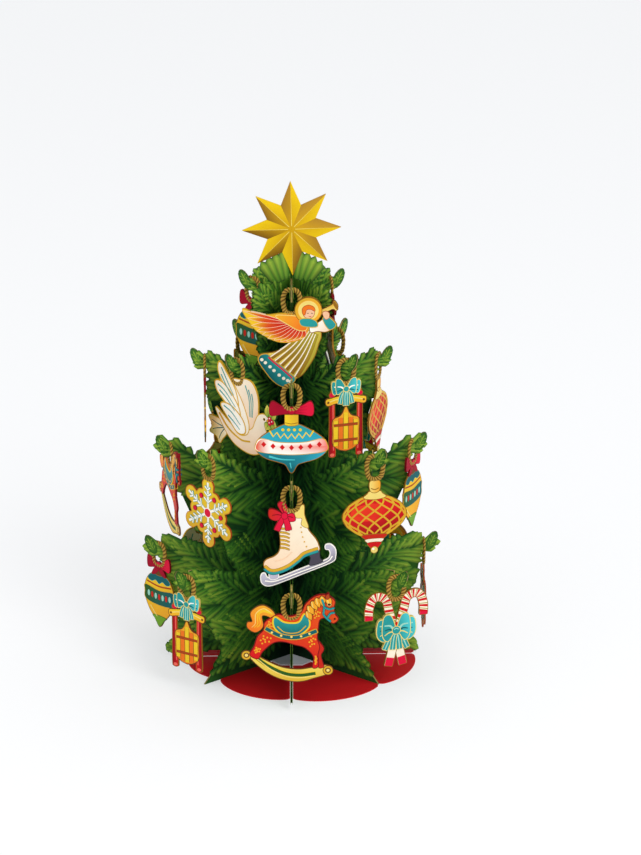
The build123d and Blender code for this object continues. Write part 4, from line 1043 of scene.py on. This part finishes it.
def starLines():  # thin pale strokes along the ridges, from the middle to the tips
    n = star["points"]
    turn = starTurns()
    ray = np.column_stack([np.cos(turn), np.sin(turn)])
    side = np.column_stack([-ray[:, 1], ray[:, 0]])
    flat = np.stack([ray * 2 - side * 0.2, ray * star["tip"] * 0.97, ray * 2 + side * 0.2], 1)
    lift = star["front"] + 0.06 + star["ridge"] * np.broadcast_to(np.array([0.955, 0.37, 0.955]), (n, 3))
    return flat.reshape(-1, 2), lift.reshape(-1), np.tile(star["line"], (3 * n, 1))


flat, lift, tone = starFacets()
lineFlat, lineLift, lineTone = starLines()
axes = np.array([rightHand(star["azimuth"]), heading(star["azimuth"])])


def onStar(at, out):  # star plane to space
    return at[:, :1] * axes[0] + (at[:, 1:] + star["height"]) * upright + out[:, None] * axes[1]


faces = np.arange(len(flat)).reshape(-1, 3)
# outer edge of each facet
edge = (np.array([[2, 1], [5, 4]])[None] + np.arange(star["points"])[:, None, None] * 6).reshape(-1, 2)
walls = np.column_stack([edge, edge[:, ::-1] + len(flat)])
lines = np.arange(len(lineFlat)).reshape(-1, 3) + 2 * len(flat)
points = np.vstack([onStar(flat, lift), onStar(flat, np.full(len(flat), star["back"])), onStar(lineFlat, lineLift)])
faces = faces.tolist() + (faces[:, ::-1] + len(flat)).tolist() + walls.tolist() + lines.tolist()
addPiece("starFacets", points * mm, faces, np.vstack([tone, tone, lineTone]), cardInk, ("star",))
print("skirt and star made")

# stage, light and camera
stage = {
    "half": 8, "floor": 0.96, "glow": 0.4, "bright": 1.1, "world": 0.78, "aim": (0, 0, 0.14),
    "lamps": (("keyLamp", (1.1, -1.5, 1.7), 1.2, 22.0),  # place, size and power
              ("fillLamp", (-1.6, -1.2, 1.0), 1.6, 4.0)),
}
floorMesh = bpy.data.meshes.new("floor")
floorMesh.from_pydata([(u * stage["half"], v * stage["half"], 0) for u, v in ((-1, -1), (1, -1), (1, 1), (-1, 1))],
                      [], [(0, 1, 2, 3)])
floor = bpy.data.objects.new("floor", floorMesh)
bpy.context.scene.collection.objects.link(floor)
pale = bpy.data.materials.new("paleFloor")
pale.use_nodes = True
t = pale.node_tree
bsdf = t.nodes["Principled BSDF"]
bsdf.inputs["Base Color"].default_value = (stage["floor"], stage["floor"], stage["floor"], 1)
bsdf.inputs["Roughness"].default_value = 0.9
bsdf.inputs["Specular IOR Level"].default_value = 0.1
glow = addNode(t, "ShaderNodeEmission", [("Color", (0.97, 0.985, 1.0, 1)), ("Strength", stage["bright"])])
rays = addNode(t, "ShaderNodeLightPath")
direct = addNode(t, "ShaderNodeMath", [("operation", "ADD")],
                 [(0, rays.outputs["Is Camera Ray"]), (1, rays.outputs["Is Glossy Ray"])])
total = addNode(t, "ShaderNodeMath", [("operation", "ADD"), ("use_clamp", True)],
                [(0, direct.outputs[0]), (1, rays.outputs["Is Transmission Ray"])])
seen = addNode(t, "ShaderNodeMath", [("operation", "MULTIPLY"), (1, stage["glow"])], [(0, total.outputs[0])])
both = addNode(t, "ShaderNodeMixShader", [], [(0, seen.outputs[0]), (1, bsdf.outputs[0]), (2, glow.outputs[0])])
t.links.new(both.outputs[0], t.nodes["Material Output"].inputs["Surface"])
floorMesh.materials.append(pale)

world = bpy.data.worlds.new("studio")
bpy.context.scene.world = world
world.use_nodes = True
world.node_tree.nodes["Background"].inputs["Color"].default_value = (0.97, 0.98, 1.0, 1)
world.node_tree.nodes["Background"].inputs["Strength"].default_value = stage["world"]

for name, at, size, power in stage["lamps"]:
    lamp = bpy.data.lights.new(name, "AREA")
    lamp.size, lamp.energy = size, power
    holder = bpy.data.objects.new(name, lamp)
    holder.location = at
    holder.rotation_euler = (Vector(stage["aim"]) - Vector(at)).to_track_quat("-Z", "Y").to_euler()
    bpy.context.scene.collection.objects.link(holder)

view = {"target": (0, 0, 0.150), "elevation": 21.07, "distance": 1.886, "lens": 134.3, "shift": (0.0339, -0.0028)}
camera = bpy.data.cameras.new("photoView")
camera.sensor_fit = "VERTICAL"
camera.sensor_height = 36.0
camera.lens = view["lens"]
camera.shift_x, camera.shift_y = view["shift"]
holder = bpy.data.objects.new("photoView", camera)
slope = np.radians(view["elevation"])
holder.location = Vector(view["target"]) + Vector((0, -np.cos(slope), np.sin(slope))) * view["distance"]
holder.rotation_euler = (np.pi / 2 - slope, 0, 0)
bpy.context.scene.collection.objects.link(holder)
bpy.context.scene.camera = holder
bpy.context.scene.view_settings.view_transform = "Standard"
print("stage and camera set")
